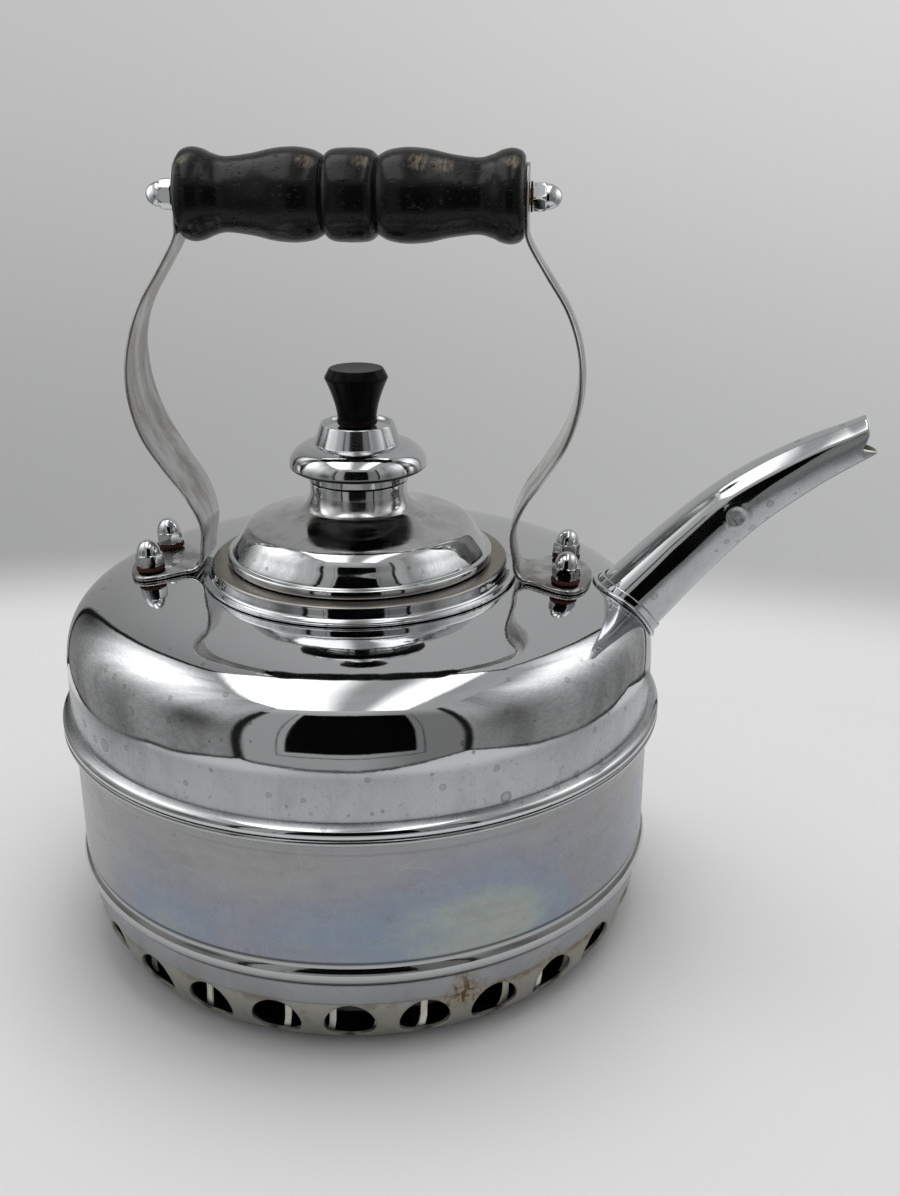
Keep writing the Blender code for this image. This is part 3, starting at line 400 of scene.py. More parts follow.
# %% [markdown]
# ## Finishes
# The kettle is chrome over nickel over copper. Old plating is still a mirror on the shoulder, but hot water
# and a wet cloth leave rings and haze, and the wall over the flame turns satin with faint blues and violets.
# All patterns read Object coordinates in metres, so they stay on the metal when it moves.

# %% A new finish
def new_finish(name):
    """Empty material: its bench and the three Object coordinates."""
    material = bpy.data.materials.new(name)
    material.use_nodes = True
    material.node_tree.nodes.clear()
    bench = Bench(material.node_tree)
    bench.material = material
    bench.where = bench.node("ShaderNodeTexCoord", out="Object")
    bench.x, bench.y, bench.z = bench.parts(bench.where)
    return bench


def moved(bench, way, squeeze=(1, 1, 1)):
    """Object coordinates squeezed and moved, which shows another part of a pattern."""
    return bench.node("ShaderNodeMapping", {"Vector": bench.where, "Scale": squeeze, "Location": way})


def noise(bench, scale, detail=2, rough=0.5, squeeze=None, seed=0):
    """Noise around 0.5. Scale is in features a metre, and squeeze stretches the pattern."""
    where = bench.where
    if squeeze or seed:
        where = moved(bench, (seed, seed / 3, seed / 7), squeeze or (1, 1, 1))
    return bench.node("ShaderNodeTexNoise",
                      {"Vector": where, "Scale": scale, "Detail": detail, "Roughness": rough})


def cells(bench, scale, seed=0):
    """Distance to the nearest of scattered points, and a random number for each."""
    where = moved(bench, (seed, seed, seed)) if seed else bench.where
    spots = bench.node("ShaderNodeTexVoronoi", {"Vector": where, "Scale": scale})
    return spots, bench.node("ShaderNodeSeparateColor", {"Color": spots.out("Color")})


def away_from(bench, centre, tall=1.0):
    """Distance from a point, in which heights count tall times."""
    where = bench.vector("MULTIPLY", bench.where, (1, 1, tall)) if tall != 1 else bench.where
    return bench.vector("DISTANCE", where, (centre[0], centre[1], centre[2] * tall), out="Value")


def patch(bench, centre, size, ragged=0.35):
    """Soft round patch about a point, with a ragged edge."""
    waver = (noise(bench, 2.2 / size, 3, seed=centre[0] * 50) - 0.5) * (2 * ragged * size)
    return (away_from(bench, centre) + waver).step(size, size * 0.35)


def facing(bench):
    return bench.node("ShaderNodeNewGeometry", out="Normal")


def close(bench, base, roughness, bump=None, **sockets):
    """Principled shader on these values: the finished material."""
    shader = {"Base Color": base, "Roughness": roughness}
    shader.update({key.replace("_", " "): value for key, value in sockets.items()})
    for height, distance in bump or []:
        values = {"Height": height, "Distance": distance}
        if "Normal" in shader:
            values["Normal"] = shader["Normal"]
        shader["Normal"] = bench.node("ShaderNodeBump", values)
    surface = bench.node("ShaderNodeBsdfPrincipled", shader)
    bench.node("ShaderNodeOutputMaterial", {"Surface": surface})
    return bench.material


print("patterns ready")

# %% [markdown]
# ### Polished chrome
# A mirror is seen by what bends it: the metal is never quite flat, so the room's edges waver. Three Bump
# nodes make that, from broad to fine. Haze and dried drops raise the roughness, and dirt and painted shade
# darken it.

# %% Chrome for the shell, spout, lid and straps
CHROME = tint(0.62, 0.63, 0.645)
HAZE = tint(0.50, 0.505, 0.51)
SATIN = tint(0.475, 0.485, 0.50)
SPOT = tint(0.25, 0.25, 0.245)
GRIME = tint(0.19, 0.165, 0.125)


def from_axis(bench):
    """Distance from the pot's axis."""
    return bench.x.hypot(bench.y)


def dried_drops(bench, scale, share, seed=0):
    """Marks left by dried drops: discs with a stronger rim about some of the scattered points."""
    spots, chance = cells(bench, scale, seed)
    size = chance.out("Green") * 0.16 + 0.10
    edge = (spots + noise(bench, scale * 3, 2) * 0.05 - 0.025) / size
    disc = edge.step(1.1, 0.9) * 0.45 + edge.bell(0.92, 0.22) * 0.55
    return disc * chance.step(1 - share, 1 - share * 0.9)


def upward(bench):
    """How far a face looks up: 1 on level ground, 0 on a wall and -1 on a ceiling."""
    return bench.parts(facing(bench))[2]


def chrome(name, haze=0.25, drops=0.15, grime_and_shade=None, satin=None, wave=1.0, worn=SATIN, soil_and_shade=GRIME):
    """Plated metal: grime_and_shade and satin are masks made by functions of the bench. The first darkens the
    metal towards soil_and_shade: dirt on the collar, painted shade under the cap.
    """
    bench = new_finish(name)
    cloud = noise(bench, 38, 5, 0.6, seed=3).step(0.44, 0.74)
    wipe = noise(bench, 160, 3, 0.6, (1, 1, 0.18), seed=5).step(0.5, 0.8)
    film = cloud * haze + wipe * (haze * 0.35)
    pits = noise(bench, 1500, 2).step(0.70, 0.78)
    film = (film + pits * 0.35).at_most()
    marks = dried_drops(bench, 240, drops) * upward(bench).step(0.985, 0.950)
    base = (film * 0.75).mix(CHROME, HAZE)
    rough = film * 0.17 + 0.035
    if satin:
        dull = satin(bench)
        streaks = noise(bench, 150, 4, 0.65, (1, 1, 0.25), seed=6)
        mottle = noise(bench, 70, 5, 0.7, (1, 1, 0.5), seed=2).step(0.45, 0.75)
        speckle = noise(bench, 620, 3, 0.7).step(0.60, 0.68)
        base = dull.mix(base, (mottle * 0.45).mix(worn, SPOT))
        rough = rough + dull * (streaks * 0.14 + 0.15)
        splashes = dried_drops(bench, 170, 0.45, 0.7) + dried_drops(bench, 90, 0.30, 0.9)
        marks = (marks + (splashes + speckle * 0.5) * dull).at_most()
    base = (marks * 0.75).mix(base, SPOT)
    rough = rough + marks * 0.10
    if grime_and_shade:
        darkened = grime_and_shade(bench)
        base = darkened.mix(base, soil_and_shade)
        rough = rough + darkened * 0.35
    bump = [(noise(bench, 26, 2, seed=1), 0.00042 * wave), (noise(bench, 260, 2, seed=2), 0.000008),
            (noise(bench, 1900, 2, 0.6, seed=7), 0.0000025)]
    return close(bench, base, rough, bump, Metallic=1.0)


def wall_satin(bench):
    """Below the shoulder's round and on the hem's ledge, drops that ran down have dulled the plating."""
    below = bench.z.step(SPRING + 0.0079, SPRING + 0.0044)
    return below * from_axis(bench).step(BEAD_RADIUS - 0.0008, BEAD_RADIUS - 0.0016)


def spout_satin(bench):
    """The spout's lower side is dull: nobody wipes there."""
    low = (upward(bench) - bench.x.step(0.105, 0.150) * 0.12).step(0.10, -0.02)
    return low * (noise(bench, 140, 4, 0.7, seed=3) * 0.3 + 0.8)


def dome_haze(bench):
    """Steam and fingers have dulled the top of the dome in clouds."""
    cloud = noise(bench, 75, 5, 0.7, seed=9).step(0.40, 0.62) * 0.50 + 0.12
    return cloud * bench.z.step(SEAT + 0.0105, SEAT + 0.0135)


def cap_painted_shade(bench):
    """Painted shade: black under the cap's bulge, and in the gap at its foot."""
    out, up = from_axis(bench), bench.z - SEAT
    under = up.step(CAP_WIDE + 0.0003, CAP_WIDE - 0.0005) * out.step(CAP_SKIRT + 0.0001, CAP_SKIRT + 0.0003)
    gap = up.step(CAP_LOW + 0.00045, CAP_LOW + 0.0003) * out.step(NECK_BORE, NECK_BORE + 0.0005)
    return (under + gap).at_most()


def cone_satin(bench):
    """The cap's cone was spun and brushed, so it blurs what it mirrors."""
    return bench.z.step(SEAT + CAP_FOOT - 0.0012, SEAT + CAP_FOOT - 0.0002) * 0.45


def strap_streaks_and_reflection(bench):
    """The straps are handled and wiped along their length, which leaves dull streaks. Their dark tone is
    painted reflection of the darker room the straps mirror.
    """
    return noise(bench, 110, 4, 0.6, (1, 1, 0.10), seed=11).step(0.36, 0.60) * 0.65 + 0.25


shell_chrome = chrome("shell_chrome", 0.2, 0.3, satin=wall_satin, wave=0.8)
lid_chrome = chrome("lid_chrome", 0.45, 0.12)
dome_chrome = chrome("dome_chrome", 0.45, 0.12, satin=dome_haze, worn=tint(0.40, 0.39, 0.375))
spout_chrome = chrome("spout_chrome", 0.45, 0.3, satin=spout_satin)
# The straps' dark worn tint is painted reflection: it stands in for the darker room the straps mirror.
strap_chrome = chrome("strap_chrome", 0.5, 0.12, satin=strap_streaks_and_reflection, wave=0.6,
                      worn=tint(0.27, 0.258, 0.245))
nut_chrome = chrome("nut_chrome", 0.25, 0.1, wave=0.2)
# The cap's near-black under its bulge and in the gap at its foot is painted shade.
cap_chrome = chrome("cap_chrome", 0.45, 0.1, grime_and_shade=cap_painted_shade, satin=cone_satin, wave=0.5,
                    soil_and_shade=tint(0.006, 0.006, 0.006))
print("chrome nodes:", len(shell_chrome.node_tree.nodes))

# %% [markdown]
# ### Lower wall, heat ring and strip
# The flame licks up the lower half, so its plating is matt and tinted in thin films. The ring under it is
# stained brown where water boiled over, most of all along its crease. The strip behind the holes is bare.

# %% Satin lower wall
# Tints of the film from cold to hot, each with its place on the ramp
FLAME_TINTS = [(0.0, tint(0.34, 0.338, 0.338)), (0.20, tint(0.322, 0.325, 0.335)),
               (0.38, tint(0.285, 0.30, 0.350)), (0.55, tint(0.25, 0.305, 0.38)),
               (0.70, tint(0.33, 0.385, 0.38)), (0.84, tint(0.42, 0.425, 0.375)),
               (1.0, tint(0.44, 0.40, 0.34))]
# Where the flame licked the wall: place, size and strength
HOT_SPOTS = [((0.046, -0.0885, 0.044), 0.076, 0.72), ((-0.050, -0.086, 0.040), 0.060, 0.50),
             ((-0.02, 0.097, 0.036), 0.070, 0.75), ((0.095, -0.02, 0.050), 0.050, 0.40),
             ((-0.005, -0.098, 0.045), 0.040, 0.18)]
bench = new_finish("lower_chrome")
heat = (noise(bench, 22, 6, 0.65, (1, 1, 1.6), seed=9) - 0.5) * 0.75 + 0.06
for centre, size, strength in HOT_SPOTS:
    heat = heat + away_from(bench, centre, tall=1.9).step(size, 0) * strength
base = bench.node("ShaderNodeValToRGB", {"Fac": heat}, stops=FLAME_TINTS)
dull = noise(bench, 130, 5, 0.7, (1, 1, 0.6), seed=4)
wear_and_sheen = noise(bench, 300, 4, 0.7, (0.2, 0.2, 1), seed=3).step(0.35, 0.70)
blotch = noise(bench, 48, 6, 0.75, (1, 1, 1.4), seed=12).step(0.50, 0.72)
drops = dried_drops(bench, 230, 0.25, 0.4)
scratch = noise(bench, 70, 1, 0.3, (1, 1, 0.5), seed=8).bell(0.5, 0.004)
scratch = scratch + noise(bench, 55, 1, 0.3, (0.7, 0.7, 1.2), seed=15).bell(0.55, 0.003)
scratch = scratch * noise(bench, 60, 2, 0.5, seed=16).step(0.50, 0.62)
bright = bench.z.step(BASE_BEAD_TOP + 0.0017, BASE_BEAD_TOP - 0.0003)
bright = bright + bench.z.step(HEM_LOW - 0.0001, HEM_LOW + 0.0003)
# Painted shade: near-black lines in the creases along the top of the base bead and along its underside by the
# ring.
groove_shade = bench.z.bell(BASE_BEAD_TOP + 0.0011, 0.0009) + bench.z.bell(BASE_BEAD[1] - 0.0023, 0.0010)
base = (dull.step(0.30, 0.75) * 0.22).mix(base, tint(0.44, 0.44, 0.445))
base = (wear_and_sheen * 0.16 + drops * 0.25 + blotch * 0.28).mix(base, tint(0.21, 0.21, 0.215))
base = (scratch * 0.18).at_most().mix(base, tint(0.60, 0.60, 0.61))
base = bright.mix(base, tint(0.46, 0.465, 0.47))
base = (groove_shade * 0.85).at_most().mix(base, tint(0.05, 0.05, 0.05))
rough = (dull * 0.20 + drops * 0.12 + 0.18) * (1 - bright * 0.7)
lower_chrome = close(bench, base, rough, [(noise(bench, 30, 2), 0.0005), (dull, 0.00003)], Metallic=1.0)
print("heat tints:", len(FLAME_TINTS), "hot spots:", len(HOT_SPOTS))

# %% Stained ring
bench = new_finish("stained_ring")
stain_noise = noise(bench, 55, 5, 0.65)
below = bench.z.step(CREASE + 0.0004, CREASE - 0.0012)
brown = bench.z.bell(CREASE - 0.0006, 0.0026) * stain_noise.step(0.46, 0.60)
brown = brown * (bench.x.step(0.03, 0.06) * 0.6 + 0.7)
spots = noise(bench, 190, 4, 0.7, seed=6).step(0.58, 0.66) * below
# Painted shade: faces that look in towards the axis, inside the ring, are near-black.
outwards = bench.vector("MULTIPLY", bench.where, (1, 1, 0))
inner_shade = bench.vector("DOT_PRODUCT", facing(bench), outwards, out="Value").step(0.010, -0.02)
# Where a spill ran down to the crease: a thin halo, and coarse flakes of rust in it
spill = patch(bench, (0.0425, -0.0873, 0.0203), 0.0085, 0.6)
spill = (spill + patch(bench, (0.068, -0.069, 0.0195), 0.0075, 0.7) * 0.6).at_most()
flakes = noise(bench, 420, 4, 0.7, (1, 1, 0.7), seed=8).step(0.46, 0.58) * spill
# Painted shade: a dark band along the ring's foot where it stands on the floor, and one along its top under
# the bead.
foot, edge = bench.z.step(0.0066, 0.0026), bench.z.step(RING_HEIGHT - 0.0012, RING_HEIGHT - 0.0002)
base = below.mix(tint(0.32, 0.325, 0.335), tint(0.345, 0.34, 0.30))
for layer, colour in [(stain_noise.step(0.40, 0.70) * 0.45, tint(0.22, 0.22, 0.215)),
                      (spots * 0.5, tint(0.21, 0.18, 0.13)),
                      (brown * 0.75, tint(0.15, 0.105, 0.04)),
                      (foot * 0.90, tint(0.03, 0.03, 0.028)),
                      (edge * 0.8, tint(0.06, 0.06, 0.058)),
                      (inner_shade, tint(0.006, 0.005, 0.004)),
                      (spill * 0.45, tint(0.24, 0.155, 0.035)),
                      (flakes, tint(0.065, 0.030, 0.005))]:
    base = layer.mix(base, colour)
rough = stain_noise * 0.16 + below * 0.06 + brown * 0.2 + inner_shade * 0.3 + 0.20
darkened = (brown * 0.6 + (spill * 0.45 + flakes).at_most()).at_most(0.95)
stained_ring = close(bench, base, rough, [(stain_noise, 0.0003), (noise(bench, 500, 3), 0.00002)],
                     Metallic=1 - darkened)
print("ring nodes:", len(bench.tree.nodes))

# %% Strip, copper, brass, fibre
def plain_metal(name, clean, dark, rough, scale=140):
    """Bare metal with cloudy tarnish and fine grain."""
    bench = new_finish(name)
    cloud = noise(bench, scale, 4, 0.6).step(0.35, 0.7)
    grain = noise(bench, scale * 8, 3)
    return close(bench, cloud.mix(clean, dark), cloud * 0.15 + grain * 0.08 + rough,
                 [(grain, 0.00002)], Metallic=1.0)


# The base plate lies in the dark inside the ring, so its copper is painted near-black: painted shade.
shaded_base_copper = plain_metal("shaded_base_copper", tint(0.03, 0.02, 0.014), tint(0.005, 0.0045, 0.004), 0.5, 60)
mouth_brass = plain_metal("mouth_brass", tint(0.46, 0.45, 0.34), tint(0.25, 0.25, 0.18), 0.30)
screw_brass = plain_metal("screw_brass", tint(0.72, 0.58, 0.32), tint(0.48, 0.36, 0.20), 0.28)

bench = new_finish("strip_metal")
tarnish = noise(bench, 140, 4, 0.6).step(0.35, 0.7)
# Painted shade: the strip's inner side and its lowest part are near-black, where no light reaches.
strip_shade = from_axis(bench).step(0.0846, 0.0830).at_least(bench.z.step(0.0046, 0.0036))
base = tarnish.mix(tint(0.86, 0.84, 0.76), tint(0.66, 0.62, 0.52))
base = strip_shade.mix(base, tint(0.006, 0.005, 0.004))
strip_metal = close(bench, base, tarnish * 0.15 + 0.5, [(tarnish, 0.00003)], Metallic=strip_shade)

bench = new_finish("pressed_fibre")
flock = noise(bench, 900, 3, 0.7)
red = flock.mix(tint(0.022, 0.007, 0.005), tint(0.065, 0.019, 0.013))
handled = bench.z.step(GRIP_AXIS - 0.03, GRIP_AXIS - 0.02) * 0.85
pressed_fibre = close(bench, handled.mix(red, tint(0.006, 0.004, 0.004)), flock * 0.3 + 0.5,
                      [(flock, 0.00006)], Specular_IOR_Level=0.15)
print("ring, strip, copper, brass and fibre ready")

# %% [markdown]
# ### Lacquered wood and moulded black
# The grip is turned wood under many coats of black lacquer, which has sunk into the pores as pits.
# The knob is moulded and only slightly glossy, and browned near its foot by the heat of the lid.

# %% Black finishes
bench = new_finish("lacquered_wood")
low_half = bench.z.step(GRIP_AXIS + 0.006, GRIP_AXIS - 0.008) * 0.5 + 0.5
pores = noise(bench, 900, 2, 0.5, (0.45, 1, 1), seed=2).step(0.62, 0.72)
swell = noise(bench, 120, 3, 0.6, (0.5, 1, 1))
spots, chance = cells(bench, 380)
bubbles = spots.step(0.30, 0.08) * chance.step(0.70, 0.76) * low_half
fine, odds = cells(bench, 900, 0.3)
blisters = fine.step(0.35, 0.10) * odds.step(0.60, 0.66) * noise(bench, 70, 3, seed=4).step(0.45, 0.60)
worn = noise(bench, 60, 5, 0.7, seed=7).step(0.66, 0.76)
# Painted highlights on the near side of the swellings: place along the grip, and size
GRIP_SHEEN = [(-0.050, 0.0023), (-0.0125, 0.00345), (0.0045, 0.00345), (0.022, 0.0046), (0.029, 0.0046),
          (0.0495, 0.00345)]
spots = sum(patch(bench, (reach, -0.0088, GRIP_AXIS + 0.0106), size, 0.3) for reach, size in GRIP_SHEEN)
# Painted highlights: cream patches where the lamp's reflection lies on the swellings.
wear_and_sheen = noise(bench, 1100, 3, 0.7, (1, 0.25, 0.25)).step(0.30, 0.75) * spots.at_most()
base = (worn * 0.5).mix(tint(0.003, 0.0028, 0.0026), tint(0.03, 0.022, 0.012))
base = (wear_and_sheen * 0.30).mix(base, tint(0.42, 0.36, 0.27))
height = bubbles + blisters * 0.5 - pores * 0.3
lacquered_wood = close(bench, base, swell * 0.12 + pores * 0.2 + worn * 0.15 + 0.16,
                       [(swell, 0.00030), (height, 0.00022)], Specular_IOR_Level=0.22)

bench = new_finish("moulded_black")
swell = noise(bench, 90, 3)
warm = bench.z.step(0.181, 0.173) * 0.5
dust = noise(bench, 700, 4, 0.7).step(0.62, 0.74)
base = warm.mix(tint(0.0008, 0.0008, 0.0009), tint(0.012, 0.008, 0.005))
base = (dust * 0.1).mix(base, tint(0.02, 0.02, 0.02))
moulded_black = close(bench, base, swell * 0.12 + dust * 0.15 + 0.22, [(swell, 0.0002), (dust, 0.00002)],
                      Specular_IOR_Level=0.07)
print("black finishes ready")

# %% [markdown]
# ## Shoulder and upper half
# The upper half is one pressed sheet: a short wall, a shoulder that is rounder than a box and squarer than
# a ball, and a flat crown with the mouth hole. Its section is a superellipse, which is a rule, so a
# Geometry Nodes tree bends a grid into it and gives the sheet its thickness.

# %% Recipe of the shoulder
bench, wires = recipe("pressed_shoulder", shell_chrome, **{
    "Crown Radius": CROWN_RADIUS, "Width": SHOULDER_WIDTH, "Spring": SPRING, "Rise": SHOULDER_RISE,
    "Power": SHOULDER_POWER, "Wall": SPRING - SEAM - GAP - 0.0022, "Mouth Radius": MOUTH_HOLE,
    "Sheet": SHEET, "Flats": 192, "Rows": 60})
grid = bench.node("GeometryNodeMeshGrid",
                  {"Vertices X": wires["Flats"] + 1, "Vertices Y": wires["Rows"] + 1})
index = bench.node("GeometryNodeInputIndex")
row = index.math("MODULO", wires["Rows"] + 1)
column = (index - row) / (wires["Rows"] + 1)
angle = column * TAU / wires["Flats"]
# Along the sheet: 0 where the shoulder begins and 1 where it ends, with a wall before and a crown after
BEFORE, AFTER = 0.06, 0.10
along = row / wires["Rows"] * (BEFORE + 1 + AFTER) - BEFORE
bend = along.at_least().at_most() * (TAU / 4)
across = bend.math("COSINE").at_least() ** (2 / wires["Power"])
up = bend.math("SINE").at_least() ** (2 / wires["Power"])
inwards = (along - 1).at_least() / AFTER * (wires["Crown Radius"] - wires["Mouth Radius"])
below = (-along).at_least() / BEFORE * wires["Wall"]
radius = wires["Crown Radius"] + wires["Width"] * across - inwards
height = wires["Spring"] + wires["Rise"] * up - below
bent = set_at(bench, grid, radius * angle.math("COSINE"), radius * angle.math("SINE"), height)
closed = bench.node("GeometryNodeMergeByDistance", {"Geometry": bent, "Distance": 1e-6})
inner = bench.node("GeometryNodeExtrudeMesh",
                   {"Mesh": closed, "Offset Scale": -wires["Sheet"], "Individual": False}, mode="FACES")
both = bench.node("GeometryNodeJoinGeometry")
for part in (closed, inner):
    bench.tree.links.new(part.socket, both.socket.node.inputs[0])
upper = grow("upper_shell", bench, wires, both)
print("shoulder grown:", len(upper.data.vertices), "points")

# %% [markdown]
# The two halves are clamped in a bead: a hem of the upper half lies on a hem of the lower half. Under it
# runs a fine pressed line, and at the bottom the wall is rolled round the edge of the base plate.

# %% Hem of the upper half
POT_FLATS = 192
low = SEAM + GAP
hem_top = low + 0.0038
hem = eased([(UPPER_RADIUS - SHEET, low), (BEAD_RADIUS, low, 0.0009), (BEAD_RADIUS, low + 0.0024, 0.0014),
             (UPPER_RADIUS + 0.0002, hem_top), (UPPER_RADIUS - SHEET, hem_top)], 6)
hem_piece = turned("upper_hem", hem, POT_FLATS, shell_chrome)
settle(upper, "kettle", "polished_chrome", "upper_body")
settle(hem_piece, "kettle", "polished_chrome")

# %% Lower half
inside = POT_RADIUS - SHEET
swage = HEM_LOW - 0.0039            # faint pressed line under the hem
swage_radius = POT_RADIUS + 0.0005
start, end = (math.degrees(math.acos((radius - BASE_BEAD[0]) / BASE_BEAD_SIZE[0]))
              for radius in (POT_RADIUS, inside))
wall = [(inside, SEAM), (BEAD_RADIUS, SEAM, 0.0009), (BEAD_RADIUS, HEM_LOW, 0.0009),
        (swage_radius, HEM_LOW, 0.0004), (swage_radius, swage, 0.0008), (POT_RADIUS, swage - 0.0012, 0.0008)]
wall += arc(BASE_BEAD, BASE_BEAD_SIZE, start, -end, 18)
lower = turned("lower_shell", eased(wall, 6), POT_FLATS, lower_chrome)
settle(lower, "kettle", "worn_chrome", "lower_body")

# %% [markdown]
# ## Perforated heat ring
# The ring carries the kettle over the flame and lets air in through 26 round holes. It is one sheet with
# a crease, a curled lower edge and a lip to stand on. One slice with one hole is drawn flat, as angle and
# distance along the sheet, and wrapped round. A tree then sets 26 of them about the axis, edge to edge.

# %% Section of the ring
HOLES, FIRST_HOLE = 26, math.radians(-85)
HOLE_RADIUS, HOLE_TILT, HOLE_HEIGHT = 0.0079, math.radians(22), 0.544 * CREASE
RING_RADIUS, RING_SHEET = 0.0971, 0.0009
REST_OUTER = 0.0805             # outer edge of the lip that stands on the stove
CURL_RADIUS = RING_RADIUS - 0.0005
CURL_STEPS, CURL_CUT = 160, 150 # the slice with the hole ends at the second of these
upper_part = eased([(RING_RADIUS - 0.0051, RING_HEIGHT), (RING_RADIUS, RING_HEIGHT, 0.0009),
                    (RING_RADIUS, CREASE + 0.0005, 0.0004), (CURL_RADIUS, CREASE)], 4)
curl = arc((REST_OUTER, CREASE), (CURL_RADIUS - REST_OUTER, CREASE), 0, -90, CURL_STEPS, 2.1)
lip = [(REST_OUTER - 0.003, 0), (REST_OUTER - 0.006, 0)]
ring_path = np.array(upper_part + curl[1:] + lip)
ring_way = unit(np.gradient(ring_path, axis=0))
ring_length = np.concatenate([[0], np.cumsum(np.linalg.norm(np.diff(ring_path, axis=0), axis=1))])
CELL_TOP = ring_length[len(upper_part)]
CELL_LOW = ring_length[len(upper_part) + CURL_CUT]


def on_ring(theta, along, depth):
    """Point on the ring: angle, distance along the sheet from its top, and depth behind its outer side."""
    r, z, dr, dz = (np.interp(along, ring_length, column) for column in (*ring_path.T, *ring_way.T))
    r, z = r + dz * depth, z - dr * depth
    return np.column_stack([r * np.cos(theta), r * np.sin(theta), z])


print("sheet length of the ring", round(ring_length[-1] * 1000, 1), "mm")

# %% One slice with its hole
def hole_loop(radius, count):
    """Angle and distance along the sheet of a tilted round hole's edge."""
    phi = np.arange(count) * TAU / count
    side, rise = radius * np.sin(phi), radius * np.cos(phi)
    along = np.full(count, (CELL_TOP + CELL_LOW) / 2)
    table = np.linspace(CELL_TOP, CELL_LOW, 400)
    r = np.interp(table, ring_length, ring_path[:, 0])
    z = np.interp(table, ring_length, ring_path[:, 1])
    for _ in range(8):
        theta = np.arcsin(side / np.interp(along, table, r))
        over = ((np.outer(np.cos(theta), r) - RING_RADIUS) * math.sin(HOLE_TILT)
                + (z - HOLE_HEIGHT) * math.cos(HOLE_TILT))
        along = np.array([np.interp(-goal, -line, table) for goal, line in zip(rise, over)])
    return theta, along


def border_loop(count, middle):
    """Points on the slice's edge, one for each point of the hole, whose middle lies this far along."""
    half = TAU / HOLES / 2
    up = np.linspace(0, 1, count // 8 + 1)[:-1]
    right = [(half * t, CELL_TOP) for t in up]
    right += [(half, CELL_TOP + (middle - CELL_TOP) * t) for t in up]
    right += [(half, middle + (CELL_LOW - middle) * t) for t in up]
    right += [(half * (1 - t), CELL_LOW) for t in up]
    left = [(-a, s) for a, s in right[:0:-1]]
    return np.array(right + [(0, CELL_LOW)] + left).T


HOLE_POINTS = 48
hole_middle = hole_loop(1e-5, 8)[1][0]      # where a tiny hole would lie
outer_edge = border_loop(HOLE_POINTS, hole_middle)
# The hole's rolled edge: how much wider than the hole, and how deep in the sheet
lips = [(0.0012, 0), (0.0004, 0.00004), (0.00010, 0.00022), (0, 0.0005), (0, 0.0013), (0.0002, 0.0015),
        (0.0006, 0.0014), (0.0008, RING_SHEET), (0.0012, RING_SHEET)]
widest = np.array(hole_loop(HOLE_RADIUS + lips[0][0], HOLE_POINTS))
loops = [(*(outer_edge * (1 - share) + widest * share), 0) for share in (0, 0.35, 0.7)]
loops += [(*hole_loop(HOLE_RADIUS + wider, HOLE_POINTS), depth) for wider, depth in lips]
loops.append((*outer_edge, RING_SHEET))
slice_parts = [loft([on_ring(*loop) for loop in loops])]
top_angles = np.sort(outer_edge[0][np.isclose(outer_edge[1], CELL_TOP)])
for keep in (ring_length <= CELL_TOP + 1e-9, ring_length >= CELL_LOW - 1e-9):
    rows = ring_length[keep]
    there, back = ([on_ring(top_angles, np.full(len(top_angles), s), depth) for s in rows]
                   for depth in (0, RING_SHEET))
    strips = there + back[::-1] if rows[0] > CELL_TOP else there[::-1] + back
    slice_parts.append(loft(strips, wrap=False))
ring_slice = joined("ring_slice", slice_parts)
print("slice:", len(ring_slice.data.polygons), "faces")

# %% Recipe that sets slices about the axis
bench, wires = recipe("set_round", stained_ring, Count=HOLES, First=FIRST_HOLE)
points = bench.node("GeometryNodePoints", {"Count": wires["Count"]})
index = bench.node("GeometryNodeInputIndex")
angle = index * TAU / wires["Count"] + wires["First"]
copies = bench.node("GeometryNodeInstanceOnPoints", {"Points": points, "Instance": wires["Geometry"],
                                                     "Rotation": place_of(bench, 0.0, 0.0, angle)})
ring = grow("heat_skirt", bench, wires, copies, ring_slice)
settle(ring, "kettle", "stained_chrome", "heat_ring")

# %% [markdown]
# ## Heat coil
# Behind the holes lies a flat strip wound into a ring of turns, which catches heat. Its path is a rounded
# square wound round a circle. The strip lies flat on that winding, so its four corners follow one rule: the
# tree bends a long grid, whose fifth column closes the strip, by the same sums that describe the path.

# %% Recipe of the coil
bench, wires = recipe("wound_strip", strip_metal, Turns=40, Points=40, Centre=0.0762, Winding=0.0132,
                      Height=0.0148, Width=0.0020, Thick=0.0008, Phase=TAU * 0.833, Squareness=0.4)
steps = wires["Turns"] * wires["Points"]
grid = bench.node("GeometryNodeMeshGrid", {"Vertices X": steps + 1, "Vertices Y": 5})
index = bench.node("GeometryNodeInputIndex")
corner = index.math("MODULO", 5)
station = (index - corner) / 5
turn_angle = station * TAU / steps
wind = station * TAU / wires["Points"] + wires["Phase"]
quarter = corner * (TAU / 4) + TAU / 8
side = quarter.math("COSINE").math("SIGN") * wires["Width"] / 2
thick = quarter.math("SINE").math("SIGN") * wires["Thick"] / 2
reach = wires["Winding"] + thick
boxy = [part.math("SIGN") * part.math("ABSOLUTE") ** wires["Squareness"]
        for part in (wind.math("COSINE"), wind.math("SINE"))]
sideways = wires["Centre"] + reach * boxy[0]
slant = wires["Turns"] * wires["Winding"] / sideways
length = (slant * slant + 1).math("SQRT")
radial = sideways + side / length * wind.math("SINE")
swing = side * slant / length
up = wires["Height"] + reach * boxy[1] - side / length * wind.math("COSINE")
cosine, sine = turn_angle.math("COSINE"), turn_angle.math("SINE")
bent = set_at(bench, grid, radial * cosine - swing * sine, radial * sine + swing * cosine, up)
coil = grow("heat_coil_strip", bench, wires, bent)
settle(coil, "kettle", "coil_strip", "heat_coil")

